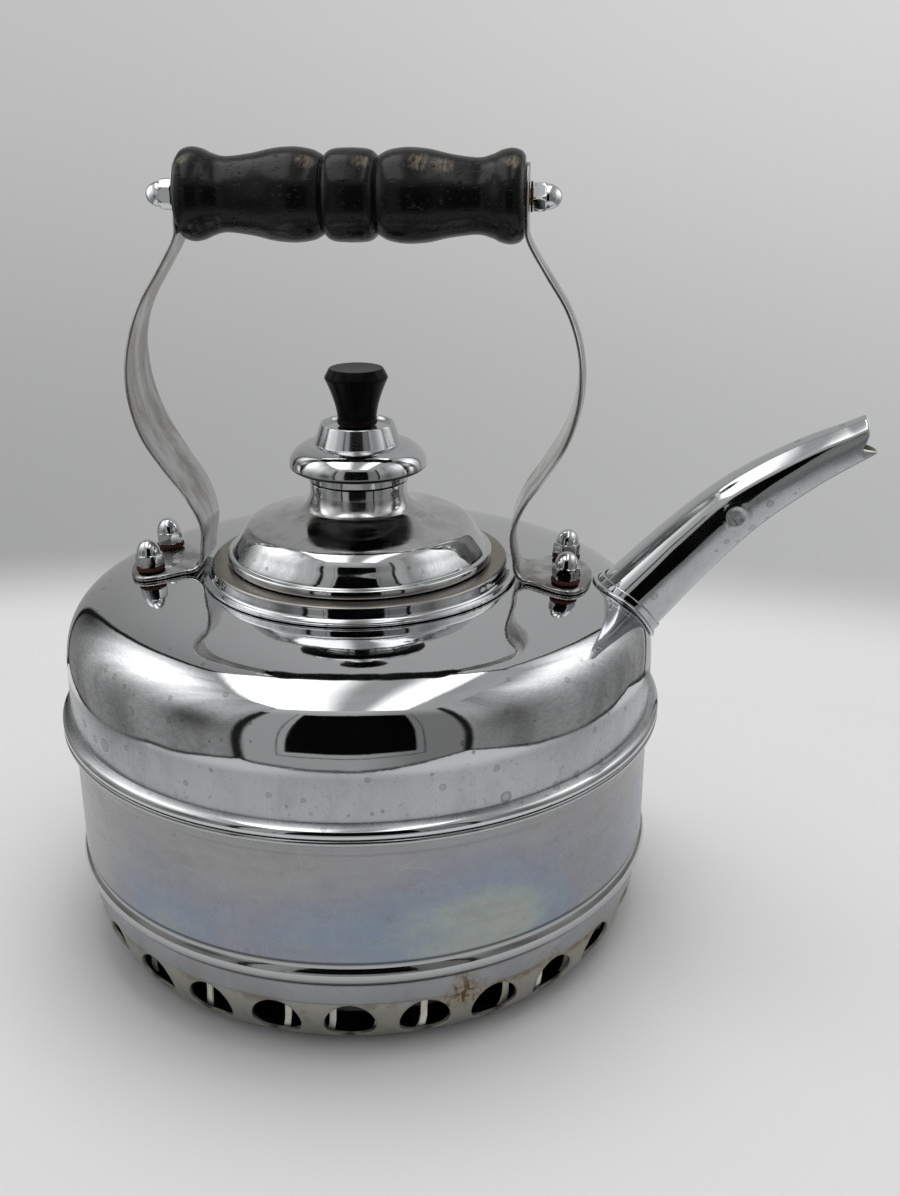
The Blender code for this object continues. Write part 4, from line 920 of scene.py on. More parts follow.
# %% [markdown]
# ## Mouth collar
# The collar is a spun ring: its foot flares onto the crown, its flat top is the lid's seat, and its bore
# keeps the lid from sliding off.

# %% Turn the collar
LID_FLATS = 160
wall = 0.0008
foot = CROWN + GAP + wall
top = SEAT - GAP
flare, depth = COLLAR_RADIUS + 0.0032, top - 0.014
section = eased([(flare, foot - wall, 0.0004), (flare, foot, 0.0004),
                 (COLLAR_RADIUS, foot, 0.0016), (COLLAR_RADIUS, top, 0.0012), (COLLAR_BORE, top, 0.0012),
                 (COLLAR_BORE, depth, 0.0003), (COLLAR_BORE + wall, depth, 0.0003),
                 (COLLAR_BORE + wall, top - wall, 0.0005), (COLLAR_RADIUS - wall, top - wall, 0.0005),
                 (COLLAR_RADIUS - wall, foot - wall, 0.0012)], 6)


def seat_grime(bench):
    """Burnt-on dirt on the seat outside the lid, and a little where the foot meets the crown."""
    out = from_axis(bench)
    rough = noise(bench, 260, 5, 0.7)
    seat = bench.z.step(SEAT - 0.0012, SEAT - 0.0004) * out.step(0.0432, 0.0445) * (rough * 0.3 + 0.7)
    return (seat * 0.95 + out.step(0.0512, 0.0526) * rough.step(0.52, 0.62) * 0.6).at_most(0.9)


collar_chrome = chrome("collar_chrome", 0.35, 0.1, grime_and_shade=seat_grime, wave=0.5)
collar = turned("collar", section, LID_FLATS, collar_chrome)
settle(collar, "kettle", "polished_chrome", "mouth_collar")

# %% [markdown]
# ## Spout
# The spout is a tapering tube bent up and forward, cut at the end to a lip that pours without dripping.
# Its centre line is a smooth curve through five points, and every ring of the loft stands square to it.
# The last rings slide along the tube until they reach the outline of the lip.

# %% Centre line of the spout
def crown_height(radius):
    across = np.clip((np.asarray(radius, float) - CROWN_RADIUS) / SHOULDER_WIDTH, 0, 1)
    return SPRING + SHOULDER_RISE * (1 - across ** SHOULDER_POWER) ** (1 / SHOULDER_POWER)


SPOUT_SEAT = CROWN_RADIUS + 0.8574 * SHOULDER_WIDTH
SPOUT_REACH, SPOUT_RISE = 0.0702, 0.0565
SPOUT_ROOT, SPOUT_MOUTH = 0.0121, 0.0064
SPOUT_WALL = 0.0010
seat_height = float(crown_height(SPOUT_SEAT))
# Shares of the reach, the rise and the taper at the five points
bends = [(0, 0, 0), (0.224, 0.308, 0.19), (0.466, 0.597, 0.40), (0.739, 0.829, 0.68), (1, 1, 1)]
line = through([(SPOUT_SEAT + SPOUT_REACH * a, seat_height + SPOUT_RISE * b,
                 SPOUT_ROOT + (SPOUT_MOUTH - SPOUT_ROOT) * c) for a, b, c in bends], 36)
aims = unit(np.gradient(line[:, :2], axis=0))
root_frame = axis_frame((SPOUT_SEAT, 0, seat_height), (aims[0, 0], 0, aims[0, 1]))
spout_length = np.linalg.norm(np.diff(line[:, :2], axis=0), axis=1).sum()
print("the spout is", round(float(spout_length) * 1000), "mm long")

# %% Rings of the tube
SPOUT_SIDES = 112
spout_angles = np.arange(SPOUT_SIDES) * TAU / SPOUT_SIDES


def spout_ring(centre, aim, radius, ahead):
    """Ring square to the tube: the far side is at angle 0 and the lower side a quarter further."""
    side, down = radius * np.cos(spout_angles), radius * np.sin(spout_angles)
    return np.column_stack([centre[0] - aim[1] * down + aim[0] * ahead, side,
                            centre[1] + aim[0] * down + aim[1] * ahead])


def both_rings(centre, aim, radius, ahead=0, rounded=0):
    """The tube's outer and inner ring, drawn together by what is rounded off the lip's edges."""
    return [spout_ring(centre, aim, r, ahead) for r in (radius - rounded, radius - SPOUT_WALL + rounded)]


# The lip seen from the side, in mouth radii: how far below the middle, and how far ahead
mouth_outline = np.array([(1.6, 0.33), (0.85, 0.33), (0.30, 0.10), (-0.08, -0.25), (-0.25, -0.50),
                          (-1.02, 0.20), (-1.6, 0.34)])
ups = np.linspace(-1.1, 1.1, 89)
cuts = np.interp(ups, mouth_outline[::-1, 0], mouth_outline[::-1, 1])
blur = np.hanning(11)[1:-1]
cuts = np.convolve(np.pad(cuts, 4, "edge"), blur / blur.sum(), "valid")
lip_cut = np.interp(np.sin(spout_angles), ups, cuts) * SPOUT_MOUTH
BACK = 0.62 * SPOUT_MOUTH       # how far behind the lip the rings begin to slide
kept = np.linalg.norm(line[:, :2] - line[-1, :2], axis=1) > BACK * 1.15
tuck = line[0].copy()
tuck[:2] -= aims[0] * 0.006     # the tube begins inside the pot
tube = [both_rings((x, z), aim, radius)
        for (x, z, radius), aim in zip([tuck, *line[kept]], [aims[0], *aims[kept]])]
end, end_aim = line[-1], aims[-1]
for share in np.linspace(0, 1, 8):
    slide = -BACK * (1 - share) + lip_cut * share
    taper = end[2] * (1 + 0.06 * (1 - share))
    tube.append(both_rings(end, end_aim, taper, slide - 0.0002 * (share == 1)))
tube.append(both_rings(end, end_aim, end[2], lip_cut + 0.0001, 0.00022))
outer_rings, inner_rings = zip(*tube)
print("rings on the spout:", len(tube))

# %% The pressed dimple and the finished tube
dimple_station = int(np.argmin(abs(line[:, 0] - SPOUT_SEAT - 0.44 * SPOUT_REACH)))
dimple_at = np.array([line[dimple_station, 0], -line[dimple_station, 2], line[dimple_station, 1]])
BOWL_RADIUS, RIM_RADIUS, RIM_WIDTH = 0.0031, 0.0035, 0.0008


def press(rings):
    """Push the near side in as a small round dimple with a raised rim and a point in the middle."""
    rings = np.array(rings)
    away = np.linalg.norm(rings - dimple_at, axis=2)
    bowl = -0.00050 * np.clip(1 - (away / BOWL_RADIUS) ** 2, 0, 1)
    rim = 0.00020 * np.exp(-((away - RIM_RADIUS) / RIM_WIDTH) ** 2)
    point = 0.00020 * np.exp(-(away / RIM_WIDTH) ** 2)
    near = rings[:, :, 1] < 0
    rings[:, :, 1] -= (bowl + rim + point) * near
    return rings


whole = [*press(outer_rings), *press(inner_rings)[::-1]]
whole.append(whole[0])
spout = lay("spout", *loft(whole), spout_chrome)
# The plating ends at the lip, and the inner side is bare brass
spout.data.materials.append(mouth_brass)
for face in spout.data.polygons[len(tube) * SPOUT_SIDES:-SPOUT_SIDES]:
    face.material_index = 1
settle(spout, "kettle", "polished_chrome", "spout_tube")

# %% [markdown]
# Where the tube enters the shoulder it sits in a sleeve, and a bright thin ring lies round it. Both follow
# the curve of the shoulder, so each of their points is slid along the spout's axis until it has the right
# height over the pot.

# %% Heights over the shoulder
profile = np.array([(UPPER_RADIUS, SEAM), (UPPER_RADIUS, SPRING)]
                   + arc((CROWN_RADIUS, SPRING), (SHOULDER_WIDTH, SHOULDER_RISE), 0, 90, 240, SHOULDER_POWER)
                   + [(MOUTH_HOLE, CROWN)])


def height_over(point):
    """Distance of a point above the pot's outer surface, below it negative."""
    here = np.array([math.hypot(point[0], point[1]), point[2]])
    first, way = profile[:-1], np.diff(profile, axis=0)
    size = np.maximum((way ** 2).sum(1), 1e-18)
    share = np.clip(((here - first) * way).sum(1) / size, 0, 1)
    gap = here - (first + way * share[:, None])
    far = np.hypot(*gap.T)
    best = int(np.argmin(far))
    return math.copysign(far[best], way[best][1] * gap[best][0] - way[best][0] * gap[best][1])


def slid(place, angle, radius, height):
    """Point at an angle and radius in a frame, slid along its Z axis to a height over the shoulder."""
    low, high = -0.02, 0.03
    for _ in range(26):
        middle = (low + high) / 2
        point = place @ Vector((radius * math.cos(angle), radius * math.sin(angle), middle))
        low, high = (middle, high) if height_over(point) < height else (low, middle)
    return tuple(point)


def follow(name, place, section, flats, finish):
    """Ring round a frame's axis whose section of (radius, height) follows the shoulder."""
    rings = [[slid(place, TAU * i / flats, r, h) for r, h in section] for i in range(flats + 1)]
    return lay(name, *loft(rings), finish)


print("over the crown:", round(height_over((0.045, 0, CROWN + 0.002)) * 1000, 2), "mm")

# %% Sleeve and saddle ring
SLEEVE_BORE = SPOUT_ROOT + GAP
SLEEVE_RADIUS = SLEEVE_BORE + 0.0005
SADDLE_BORE = SLEEVE_RADIUS + GAP
SADDLE_RADIUS = SADDLE_BORE + 0.0010
section = eased([(SLEEVE_BORE, -0.004), (SLEEVE_RADIUS, -0.004), (SLEEVE_RADIUS, 0.0032, 0.0003),
                 (SLEEVE_BORE, 0.0032, 0.0003)], 3)
sleeve = follow("sleeve", root_frame, section, 96, spout_chrome)
section = eased([(SADDLE_BORE, GAP), (SADDLE_RADIUS, GAP, 0.0003), (SADDLE_RADIUS, 0.0011, 0.0006),
                 (SADDLE_BORE, 0.0012, 0.0003)], 4)
saddle = follow("saddle", root_frame, section, 96, nut_chrome)
settle(sleeve, "kettle", "polished_chrome", "spout_sleeve")
settle(saddle, "kettle", "polished_chrome", "spout_saddle")

# %% [markdown]
# ## Straps
# Each strap is one length of half-round strip: it spreads into an oval foot on the shoulder, bends up,
# bows outwards past the grip's end and comes back in to it. It is lofted from stations, each with a
# place, a half width and a crown, and its edges are rounded.

# %% Stations of the strap
STRAP_NECK, STRAP_BOW, STRAP_TOP = 0.0507, 0.0713, 0.0534
BOW_HEIGHT = CROWN + 0.0683
STRAP_WIDE = 0.0148
STRAP_EDGE, STRAP_CROWN = 0.0010, 0.0016
FOOT_WIDTH, FOOT_THICK, FOOT_ROUND = 0.0182, 0.0020, 0.0060
FOOT_EDGE = FOOT_THICK * 0.62
FOOT_CENTRE = 0.0696
FOOT_LENGTH = SPOUT_SEAT - SADDLE_RADIUS - FOOT_CENTRE
# Shares of height, reach, width and crown, up to the middle of the bow and from there to the grip
lower_bow = [(.104, .044, .62, .45), (.253, 0, .757, .6), (.403, .18, .90, .8), (.552, .505, .966, 1),
             (.701, .791, 1, 1), (.851, .951, .932, 1), (1, 1, .824, .8)]
upper_bow = [(.191, .933, .655, .6), (.382, .726, .554, .4), (.573, .369, .517, .3), (.764, .039, .517, .2),
             (.882, 0, .517, .12)]
rows = [(start + (STRAP_BOW - start) * reach, low + (high - low) * up, STRAP_WIDE * wide, STRAP_CROWN * crown)
        for start, low, high, shares in ((STRAP_NECK, CROWN, BOW_HEIGHT, lower_bow),
                                         (STRAP_TOP, BOW_HEIGHT, GRIP_AXIS, upper_bow))
        for up, reach, wide, crown in shares]
bow = through(rows, 8)
top, width, flat_crown = GRIP_AXIS + 0.010, bow[-1][2], bow[-1][3]
bow = np.vstack([bow, [(STRAP_TOP, top - width * (1 - math.sin(a)), width * math.cos(a), flat_crown)
                       for a in np.radians(np.linspace(8, 88, 12))]])
print("strap stations:", len(bow))

# %% Sections of the strap
def strip_ring(half, edge, middle, power):
    """Offsets (sideways, lift) round a strip: flat face, rounded edges and crowned face."""
    ease = min(0.00042, edge * 0.42, half * 0.4)
    places = np.linspace(1, -1, 13) * (half - ease)
    crowned = [(y, edge + (middle - edge) * (1 - abs(y / half) ** power)) for y in places]
    edges = []
    for angle in np.radians(np.linspace(90, -90, 9)):
        lift = edge - ease if angle > 0 else ease
        edges.append((half - ease + ease * math.cos(angle), lift + ease * math.sin(angle)))
    right = edges[1:-1]
    flat = [(y, 0.0) for y in places[::-1]]
    return right[::-1] + crowned + [(-y, lift) for y, lift in right] + flat


def strap_station(point, normal, half, edge, middle, power, sag=None):
    """Ring of the strap round a point, whose face looks along the normal and may sag across its width."""
    ring = []
    for y, lift in strip_ring(half, edge, middle, power):
        drop = sag(y) if sag else 0
        ring.append((point[0] + normal[0] * lift, y, point[1] + normal[1] * lift + drop))
    return ring


# Half widths of the foot from the bend to its middle, as shares
foot_in = through([(0, .60), (.2, .70), (.45, .84), (.72, .95), (1, 1)], 5)
bend_start = bow[0][0] + FOOT_ROUND
foot = [(FOOT_CENTRE + FOOT_LENGTH * math.sin(a), FOOT_WIDTH * math.cos(a))
        for a in np.radians(np.linspace(87, 6, 16))]
foot += [(bend_start + (FOOT_CENTRE - bend_start) * place, FOOT_WIDTH * half)
         for place, half in foot_in[::-1]]
stations = []
for reach, half in foot:
    base = float(crown_height(reach))
    stations.append(strap_station(
        (reach, base + GAP), (0, 1), half, FOOT_EDGE, FOOT_THICK, 6,
        lambda y, reach=reach, base=base: float(crown_height(math.hypot(reach, y))) - base))
first_reach, first_height, first_half, first_crown = bow[0]
low = CROWN + GAP
for share in np.linspace(0.12, 0.88, 9):
    rest = 1 - share
    x = bend_start * rest ** 2 + first_reach * (2 * share * rest + share ** 2)
    z = low * (rest ** 2 + 2 * share * rest) + first_height * share ** 2
    way = np.array([(first_reach - bend_start) * rest, (first_height - low) * share])
    way /= np.linalg.norm(way)
    stations.append(strap_station((x, z), (way[1], -way[0]), foot[-1][1] * rest + first_half * share,
                                  FOOT_EDGE * rest + STRAP_EDGE * share,
                                  FOOT_THICK * rest + (STRAP_EDGE + first_crown) * share, 3))
for (reach, height, half, crown), way in zip(bow, unit(np.gradient(bow[:, :2], axis=0))):
    stations.append(strap_station((reach, height), (way[1], -way[0]), half,
                                  STRAP_EDGE, STRAP_EDGE + crown, 2))
strap_shape = loft(stations, caps=True)
for label, side in (("front", 1), ("rear", -1)):
    strap = lay("strap_bow_" + label, strap_shape[0] * (side, 1, 1), strap_shape[1], strap_chrome)
    settle(strap, "kettle", "polished_chrome", "strap_" + label)

# %% [markdown]
# ## Grip
# The grip is turned from one stick: a fat middle between two fine grooves, a waist on each side and two
# blunt ends. A lathe follows a template, and so does this: a smooth curve through a row of radii.

# %% Turn the grip
GRIP_HALF, GRIP_RADIUS = 0.0531, 0.0142
template = [(0, .986), (.080, .972), (.122, .93), (.149, .845), (.158, .803), (.169, .845), (.217, .937),
            (.283, .986), (.348, 1), (.452, .965), (.584, .859), (.731, .796), (.810, .859), (.866, .951),
            (.925, .993), (.976, .944), (1, .845)]
half = through([(GRIP_RADIUS * r, GRIP_HALF * place) for place, r in template], 6)
section = [(BORE, -GRIP_HALF)] + [(r, -z) for r, z in half[::-1]]
section += [(r, z) for r, z in half[1:]] + [(BORE, GRIP_HALF)]
along_grip = axis_frame((0, 0, GRIP_AXIS), (1, 0, 0))
grip = turned("turned_grip", section, 128, lacquered_wood, along_grip)
settle(grip, "kettle", "black_lacquered_wood", "grip")

# %% [markdown]
# ## Nuts and washers
# Six domed nuts hold the handle: four on the feet and one at each end of the grip. One nut is drawn, and
# one tree sets copies of it: pairs at a reach from the axis, on both hands of it, tilted to lie flat. The
# grip's front nut came to rest turned by half a flat, so the tree can spin the copies at the front.

# %% One domed nut
NUT_FLAT, NUT_HEX, NUT_HEIGHT, NUT_DOME = 0.0082, 0.0040, 0.0086, 0.0039
NUT_CHAMFER, NUT_DEPTH, NUT_POINTS = 0.0009, 0.0056, 72
corner_radius = NUT_FLAT / math.sqrt(3)


def hexagon(angles):
    """Distance to the six flats in a direction, over the distance to a corner."""
    return math.cos(math.pi / 6) / np.cos((angles % (TAU / 6)) - math.pi / 6)


def nut_rings():
    """Rings from the nut's foot up its flats, over its dome and down its bore."""
    flats = corner_radius * hexagon(np.arange(NUT_POINTS) * TAU / NUT_POINTS)
    rings = []
    for z in (0, 0.00025, 0.0012, 0.0024, NUT_HEX - 0.0008, NUT_HEX - 0.0005, NUT_HEX - 0.0002, NUT_HEX):
        chamfer = max(0, z - NUT_HEX + NUT_CHAMFER) / NUT_CHAMFER
        limit = corner_radius * min(1 - 0.085 * chamfer, 1 if z else 0.97)
        rings.append(circle(np.minimum(flats, limit * (0.995 if z < NUT_HEX else 0.93)), z, NUT_POINTS))
    dome = arc((0, NUT_HEX), (NUT_DOME, NUT_HEIGHT - NUT_HEX), 0, 90, 12)
    bore = [(0, NUT_DEPTH), (BORE, NUT_DEPTH), (BORE, 0)]
    rings += [circle(max(r, 1e-7), z, NUT_POINTS) for r, z in dome + bore]
    return rings + rings[:1]


nut_shape = loft(nut_rings())
print("nut faces:", len(nut_shape[1]))

# %% Recipe that sets pairs at a reach
def set_pairs(name, shape, count, reach, spread, up, tilt, finish, spin=0.0):
    """Copies of a shape in its own frame, at both ends and, with a spread, on both sides. Those at the front
    are spun round their own axis."""
    bench, wires = recipe(name + "_pairs", finish, Count=count, Reach=reach, Spread=spread, Height=up,
                          Tilt=tilt, Spin=spin)
    points = bench.node("GeometryNodePoints", {"Count": wires["Count"]})
    index = bench.node("GeometryNodeInputIndex")
    odd = index.math("MODULO", 2)
    x = (1 - odd * 2) * wires["Reach"]
    y = (1 - (index - odd).at_most(2.0)) * wires["Spread"]
    placed = set_at(bench, points, x, y, wires["Height"])
    tilted = place_of(bench, 0.0, wires["Tilt"], bench.sum("ARCTAN2", y, x))
    copies = bench.node("GeometryNodeInstanceOnPoints",
                        {"Points": placed, "Instance": wires["Geometry"], "Rotation": tilted})
    turn_by = place_of(bench, 0.0, 0.0, (1 - odd) * wires["Spin"])
    spun = bench.node("GeometryNodeRotateInstances",
                      {"Instances": copies, "Rotation": turn_by, "Local Space": True})
    return grow(name, bench, wires, spun, joined(name, [shape]))


def on_feet(kind):
    """Names of the four CAD nodes of a kind on the straps' feet."""
    return [f"foot_{kind}_{end}_{hand}" for end in ("front", "rear") for hand in ("far", "near")]


BOLT_REACH, BOLT_SPREAD = FOOT_CENTRE - 0.0007, 0.0117
bolt_radius = math.hypot(BOLT_REACH, BOLT_SPREAD)
near, far = bolt_radius - 0.0024, bolt_radius + 0.0024      # the slope of the crown under a nut
fall = float(crown_height(near) - crown_height(far)) / (far - near)
feet = dict(count=4, reach=BOLT_REACH, spread=BOLT_SPREAD, up=float(crown_height(bolt_radius)),
            tilt=math.atan(fall))
WASHER_LOW = GAP + FOOT_THICK + GAP
WASHER_HIGH = WASHER_LOW + 0.0012
lifted_nut = (nut_shape[0] + np.array((0, 0, WASHER_HIGH + GAP)), nut_shape[1])
nuts = set_pairs("foot_nuts", lifted_nut, finish=nut_chrome, **feet)
settle(nuts, "kettle", "polished_chrome", *on_feet("nut"))

# %% Washers under the nuts, and both at the ends of the grip
def washer(radius, low, high):
    return turn(eased([(BORE, low), (radius, low, 0.0003), (radius, high, 0.0003), (BORE, high)], 3), 64)


washers = set_pairs("foot_washers", washer(0.00475, WASHER_LOW, WASHER_HIGH), finish=pressed_fibre, **feet)
settle(washers, "kettle", "red_fibre", *on_feet("washer"))
END_WASHER = 0.0006
NUT_BASE = STRAP_TOP + STRAP_EDGE + flat_crown + GAP + END_WASHER + GAP
ends = dict(count=2, reach=float(NUT_BASE), spread=0.0, up=GRIP_AXIS, tilt=TAU / 4)
end_nuts = set_pairs("grip_nuts", nut_shape, finish=nut_chrome, spin=TAU / 12, **ends)
settle(end_nuts, "kettle", "polished_chrome", "grip_nut_front", "grip_nut_rear")
end_washers = set_pairs("grip_washers", washer(0.0046, -GAP - END_WASHER, -GAP),
                        finish=pressed_fibre, **ends)
settle(end_washers, "kettle", "red_fibre", "grip_washer_front", "grip_washer_rear")

# %% [markdown]
# ## Lid
# The lid is a stack on one screw: a dome with a rolled lip, a ring under it that drops into the collar, a
# short neck, a cap with a round bulge and a small cone, and the black knob. All are turned on the same
# axis, and all ride on the body that lifts.

# %% Dome and plug ring
lift = Matrix.Translation((0, 0, SEAT))
LIP_RADIUS, DOME_SEAT, FILLET, LID_WALL = 0.0442, 0.0160, 0.0065, 0.0008
# The dome's outline in millimetres, from its lip inwards
OUTLINE = [(42.4, 3.4), (41.7, 4.7), (41, 5.9), (40, 7.5), (39, 9.2), (38, 10.6), (37, 11.6), (36, 12.2),
           (34, 12.9), (32, 13.5), (30, 14.08), (28, 14.68), (26, 15.29), (24, 15.91), (23, 16.21),
           (22, 16.52), (21, 16.83), (20, 17.15), (19, 17.61), (18.7, 17.83)]
rise = [tuple(place) for place in through(np.array(OUTLINE) / 1000, 4)]
rise += arc((NECK_RADIUS + FILLET, DOME_TOP), (FILLET, FILLET), 232, 180, 14)[1:]
outer = rise + [(NECK_BORE - 0.0002, DOME_TOP), (0.0139, DOME_SEAT), (BORE, DOME_SEAT)]
inner = [(BORE, DOME_SEAT - LID_WALL), (0.0145, DOME_SEAT - LID_WALL), (0.0154, DOME_TOP - LID_WALL)]
inner += [place for place in beside(rise, LID_WALL) if place[1] < DOME_TOP - LID_WALL][::-1]
lip = eased([(0.0410, 0), (LIP_RADIUS, 0, 0.0011), (LIP_RADIUS, 0.0029, 0.0012), (rise[0][0], 0.0031, 0.0003),
             rise[1]], 6)
section = lip[:-1] + outer[1:] + inner + [(0.0410, inner[-1][1])]
dome = turned("dome", section, LID_FLATS, dome_chrome, lift)
settle(dome, "lid", "polished_chrome", "lid_dome")
plug_low, plug_high, plug_bore, plug_radius = -0.0103, 0.0028, 0.0399, 0.0407
plug = eased([(plug_bore, plug_low, 0.0002), (plug_radius, plug_low, 0.0004),
              (plug_radius, plug_high, 0.0002), (plug_bore, plug_high, 0.0002)])
settle(turned("plug", plug, LID_FLATS, lid_chrome, lift), "lid", "polished_chrome", "lid_plug_ring")

# %% Neck and cap
neck_low = DOME_TOP + 0.00002       # just clear of the dome, so that the two don't flicker
neck = eased([(NECK_BORE, neck_low), (NECK_RADIUS, neck_low), (NECK_RADIUS, NECK_TOP, 0.0002),
              (NECK_BORE, NECK_TOP)])
settle(turned("neck", neck, 96, lid_chrome, lift), "lid", "polished_chrome", "lid_neck")
bulge = arc((CAP_SKIRT, CAP_WIDE), (0.0061, CAP_WIDE - CAP_LIP), -62, 0, 8)
bulge += arc((0.0144, CAP_WIDE), (0.0083, CAP_FOOT - CAP_WIDE), 0, 88, 20)[1:]
outer = [(BORE, CAP_LOW), (CAP_SKIRT, CAP_LOW, 0.0005), (CAP_SKIRT, CAP_LIP, 0.0002)] + bulge
outer += [(0.0142, CAP_FOOT, 0.0004), (0.0119, CONE_TOP, 0.0005), (0.0110, CONE_TOP, 0.0004),
          (0.0101, CAP_TOP, 0.0003), (BORE, CAP_TOP)]
hollow = [(BORE, CAP_TOP - LID_WALL), (0.0094, CAP_TOP - LID_WALL), (0.0110, CAP_FOOT - LID_WALL),
          (0.0210, CAP_WIDE), (CAP_SKIRT - LID_WALL, CAP_LIP), (CAP_SKIRT - LID_WALL, CAP_LOW + LID_WALL),
          (BORE, CAP_LOW + LID_WALL)]
settle(turned("cap", eased(outer + hollow, 5), 96, cap_chrome, lift), "lid", "polished_chrome", "lid_cap")

# %% Knob
KNOB_WAIST, KNOB_RIM = 0.0063, 0.01034
low = CAP_TOP + GAP
waist = low + 0.0019
rim = waist + 0.0137
outer = [(0, low), (0.0060, low, 0.0003), (0.0066, low + 0.0008, 0.0004), (0.0066, waist - 0.0004, 0.0003)]
outer += [(KNOB_WAIST + (KNOB_RIM - KNOB_WAIST) * t ** 1.6, waist + (rim - waist) * t)
          for t in np.linspace(0.02, 0.97, 20)]
outer += [(KNOB_RIM, rim, 0.0008), (0.0087, rim + 0.0030, 0.0005), (0.0080, rim + 0.0030, 0.0004),
          (0, rim + 0.0028)]
settle(turned("knob", eased(outer, 5), 96, moulded_black, lift), "lid", "black_moulding", "lid_knob")

# %% [markdown]
# ## CAD nodes that stay
# The base plate, the bolts with their seals, the rod and the lid's screw are plain inside shapes that are
# hardly seen. Their solids stay as they are and only get the right finish.

# %% Finishes of the nodes that stay
stay = {shaded_base_copper: ["base_plate"], pressed_fibre: on_feet("seal"),
        screw_brass: ["grip_rod", "lid_screw", "lid_screw_washer", *on_feet("bolt")]}
for finish, nodes in stay.items():
    for name in nodes:
        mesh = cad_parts[name].data
        mesh.materials.clear()
        mesh.materials.append(finish)
print("nodes that stay:", sum(len(nodes) for nodes in stay.values()))

# %% [markdown]
# ## Floor and light
# A mirror needs something to show. Products like this are shot in a light tent: a box of white cloth lit
# from both sides, with a slit in front for the lens. Here the tent is a shell that only reflections see,
# while an even world and one large soft lamp light the floor and everything that is not a mirror.

# %% Floor
bench = new_finish("floor_paper")
away = (bench.x * bench.x * 0.3 + bench.y * bench.y).math("SQRT")
floor_paper = close(bench, tint(0.66, 0.66, 0.66), 0.8, [(noise(bench, 600, 2), 0.00001)],
                    Alpha=away.step(0.39, 0.26))
floor = lay("floor", circle(0.8, 0.0, 96), [tuple(range(96))], floor_paper)

# %% Tent
TENT_LEFT, TENT_RIGHT, TENT_FRONT, TENT_BACK, TENT_HEIGHT = -0.262, 0.290, -0.315, 0.175, 0.56
TENT_PLAN = [(TENT_LEFT, TENT_BACK), (TENT_LEFT, -0.13), (-0.185, TENT_FRONT), (0.278, TENT_FRONT),
             (TENT_RIGHT, 0.0), (TENT_RIGHT, 0.130), (0.205, TENT_BACK)]
# Place, size and strength of the lamps' glow on the side cloths, and of the darker places between
GLOWS = [((TENT_LEFT, -0.01, 0.34), 0.13, 2.0), ((0.29, 0.07, 0.35), 0.12, 1.7)]
SHADES = [((-0.225, -0.22, 0.16), 0.075, 0.75), ((0.285, -0.2, 0.16), 0.10, 0.5),
          ((TENT_LEFT, 0.165, 0.18), 0.09, 0.85)]
SLIT_MIDDLE, SLIT_HALF = (0.030, 0.236), (0.112, 0.174)     # across and up


def tent_cloth():
    """Glowing cloth: two lamps shine through it from left and right, and the slit in front is dark."""
    bench = new_finish("tent_cloth")
    x, y, z = bench.x, bench.y, bench.z

    def blob(centre, size):
        return 2.718 ** -((away_from(bench, centre) / size) ** 2)

    def seam(across, along, width):
        """Dark fold along an edge of the tent, from the distances to the two cloths that meet there."""
        return across.hypot(along).step(width, width * 0.35)

    def upright(number, width):
        """Seam at a corner of the plan."""
        return seam(x - TENT_PLAN[number][0], y - TENT_PLAN[number][1], width)

    ceiling = z.step(TENT_HEIGHT - 0.012, TENT_HEIGHT - 0.004)
    back = y.step(TENT_BACK - 0.010, TENT_BACK - 0.003) * (1 - ceiling)
    front = y.step(TENT_FRONT + 0.009, TENT_FRONT + 0.002) * (1 - ceiling)
    sides = z.step(0.0, 0.40) * 0.16 + 0.25
    for place, size, strength in GLOWS:
        sides = sides + blob(place, size) * strength
    for place, size, strength in SHADES:
        sides = sides * (1 - blob(place, size) * strength)
    drape = noise(bench, 11, 3, 0.55, (1, 1, 0.16), seed=2).step(0.30, 0.70)
    weave = noise(bench, 110, 3, 0.6).step(0.32, 0.68)
    sides = sides * (drape * 0.5 + 0.75) * (weave * 0.26 + 0.87)
    left, right = x.step(-0.008, -0.085), x.step(0.038, 0.110)
    roof = (left * x.step(-0.255, -0.225) + right * x.step(0.178, 0.155)) * 1.9 + 0.46
    roof = roof * (noise(bench, 9, 3, 0.6, (1, 0.4, 1), seed=4) * 0.5 + 0.75)
    rear = x.step(-0.25, -0.02) * 0.16 + 0.31
    panel = x.step(0.02, 0.16) * -0.18 + z.step(0.35, 0.55) * 0.2 + 0.40
    light = sides * (1 - ceiling) * (1 - back) * (1 - front) + roof * ceiling + rear * back + panel * front
    across, up = ((part - middle).math("ABSOLUTE") - half
                  for part, middle, half in zip((x, z), SLIT_MIDDLE, SLIT_HALF))
    out = across.at_least(up)
    light = light * (1 - out.step(0.002, -0.002) * y.step(-0.30, -0.31) * 0.995)
    light = light * (1 - out.bell(0.017, 0.003) * front * 0.8)
    folds = upright(2, 0.021) * z.step(0.43, 0.42) + upright(3, 0.023) + upright(0, 0.016) + upright(6, 0.008)
    folds = folds + seam(y - TENT_BACK, z - TENT_HEIGHT, 0.013) + z.step(0.010, 0.004) * 0.8
    light = light * (1 - folds.at_most() * 0.96)
    glowing = bench.node("ShaderNodeEmission", {"Color": tint(1, 0.995, 0.985), "Strength": light})
    bench.node("ShaderNodeOutputMaterial", {"Surface": glowing})
    bench.material.cycles.emission_sampling = "NONE"
    return bench.material


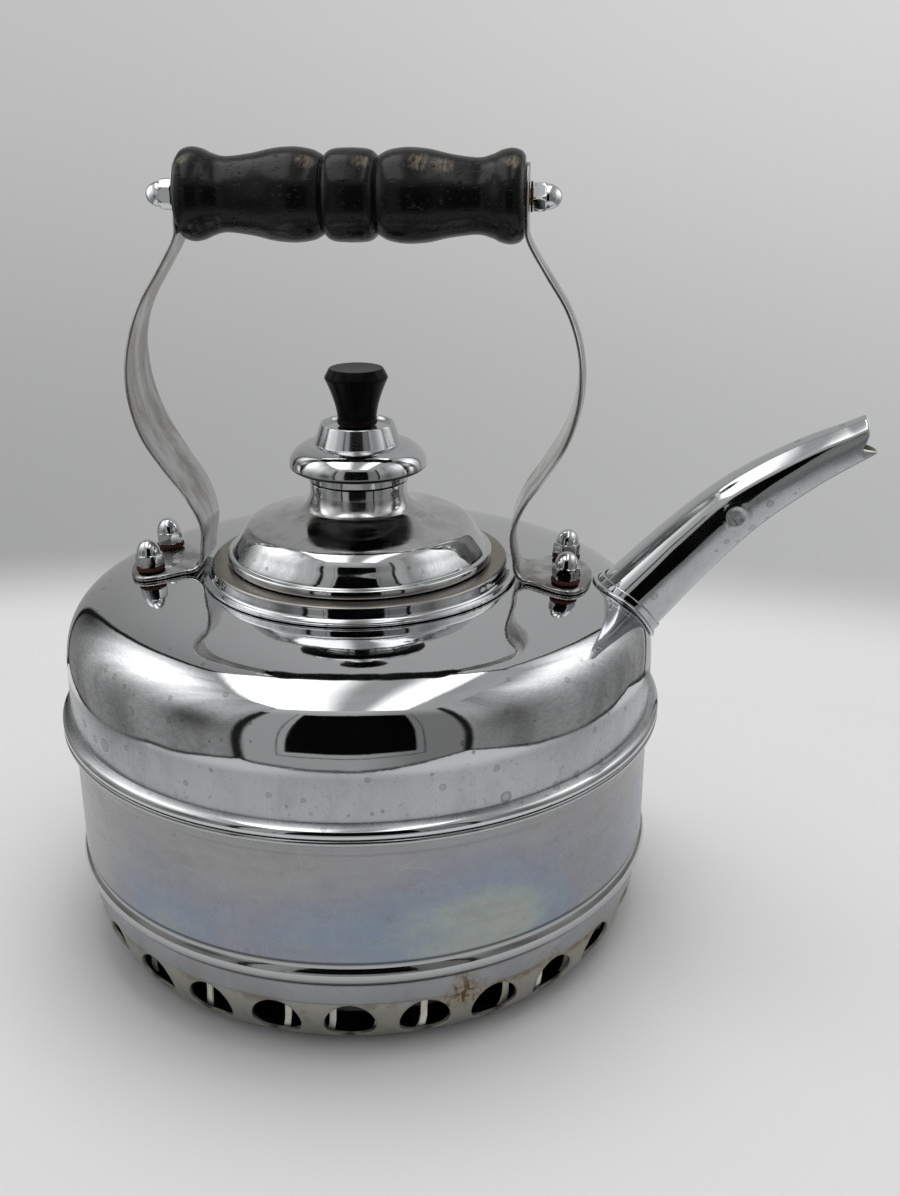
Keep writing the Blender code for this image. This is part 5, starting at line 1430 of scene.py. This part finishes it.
count = len(TENT_PLAN)
points = [(x, y, -0.001) for x, y in TENT_PLAN] + [(x, y, TENT_HEIGHT) for x, y in TENT_PLAN]
faces = [(i, (i + 1) % count, (i + 1) % count + count, i + count) for i in range(count)]
tent = lay("tent", points, faces + [tuple(range(count, 2 * count))], tent_cloth())
tent.data.shade_flat()
for way in ("camera", "diffuse", "shadow", "transmission", "volume_scatter"):
    setattr(tent, "visible_" + way, False)
print("tent", TENT_HEIGHT, "m high")

# %% Lamp, world and camera
lamp_data = bpy.data.lights.new("soft_box", "AREA")
lamp_data.shape, lamp_data.size, lamp_data.size_y = "RECTANGLE", 0.9, 0.6
lamp_data.energy = 7.0
soft_box = bpy.data.objects.new("soft_box", lamp_data)
bpy.context.collection.objects.link(soft_box)
lamp_place = (0.05, 0.05, 1.1)
soft_box.matrix_world = axis_frame(lamp_place, lamp_place)      # it shines towards the origin
soft_box.visible_glossy = False

world = bpy.data.worlds.new("studio")
bpy.context.scene.world = world
world.use_nodes = True
world.node_tree.nodes.clear()
bench = Bench(world.node_tree)
ray = bench.node("ShaderNodeLightPath", out="Is Camera Ray")
side, _, rise = bench.parts(bench.node("ShaderNodeTexCoord", out="Generated"))
wall = rise.step(-0.32, 0.12).mix(tint(0.42, 0.422, 0.425), tint(0.62, 0.62, 0.62))
shade = side.step(-0.50, 0.40) * 0.28 + 0.86
wall = bench.node("ShaderNodeVectorMath", {0: wall, "Scale": shade}, operation="SCALE")
backdrop = rise.step(-0.34, -0.44).mix(wall, tint(0.68, 0.68, 0.68))
colour = ray.mix(tint(0.66, 0.66, 0.665), backdrop)
sky = bench.node("ShaderNodeBackground", {"Color": colour, "Strength": 1.0})
bench.node("ShaderNodeOutputWorld", {"Surface": sky})

FOCAL, PHOTO_HEIGHT = 1338.6, 1196      # in pixels
camera_data = bpy.data.cameras.new("lens")
camera_data.sensor_width = 36
camera_data.lens = FOCAL * camera_data.sensor_width / PHOTO_HEIGHT
camera = bpy.data.objects.new("lens", camera_data)
bpy.context.collection.objects.link(camera)
camera.location = (0.0679, -0.4223, 0.2798)
yaw, pitch = math.radians(5.09), math.radians(21.23)
ahead = Vector((-math.sin(yaw) * math.cos(pitch), math.cos(yaw) * math.cos(pitch), -math.sin(pitch)))
camera.rotation_euler = ahead.to_track_quat("-Z", "Y").to_euler()
bpy.context.scene.camera = camera
bpy.context.scene.view_settings.view_transform = "Standard"
print("lens", round(camera_data.lens, 2), "mm")
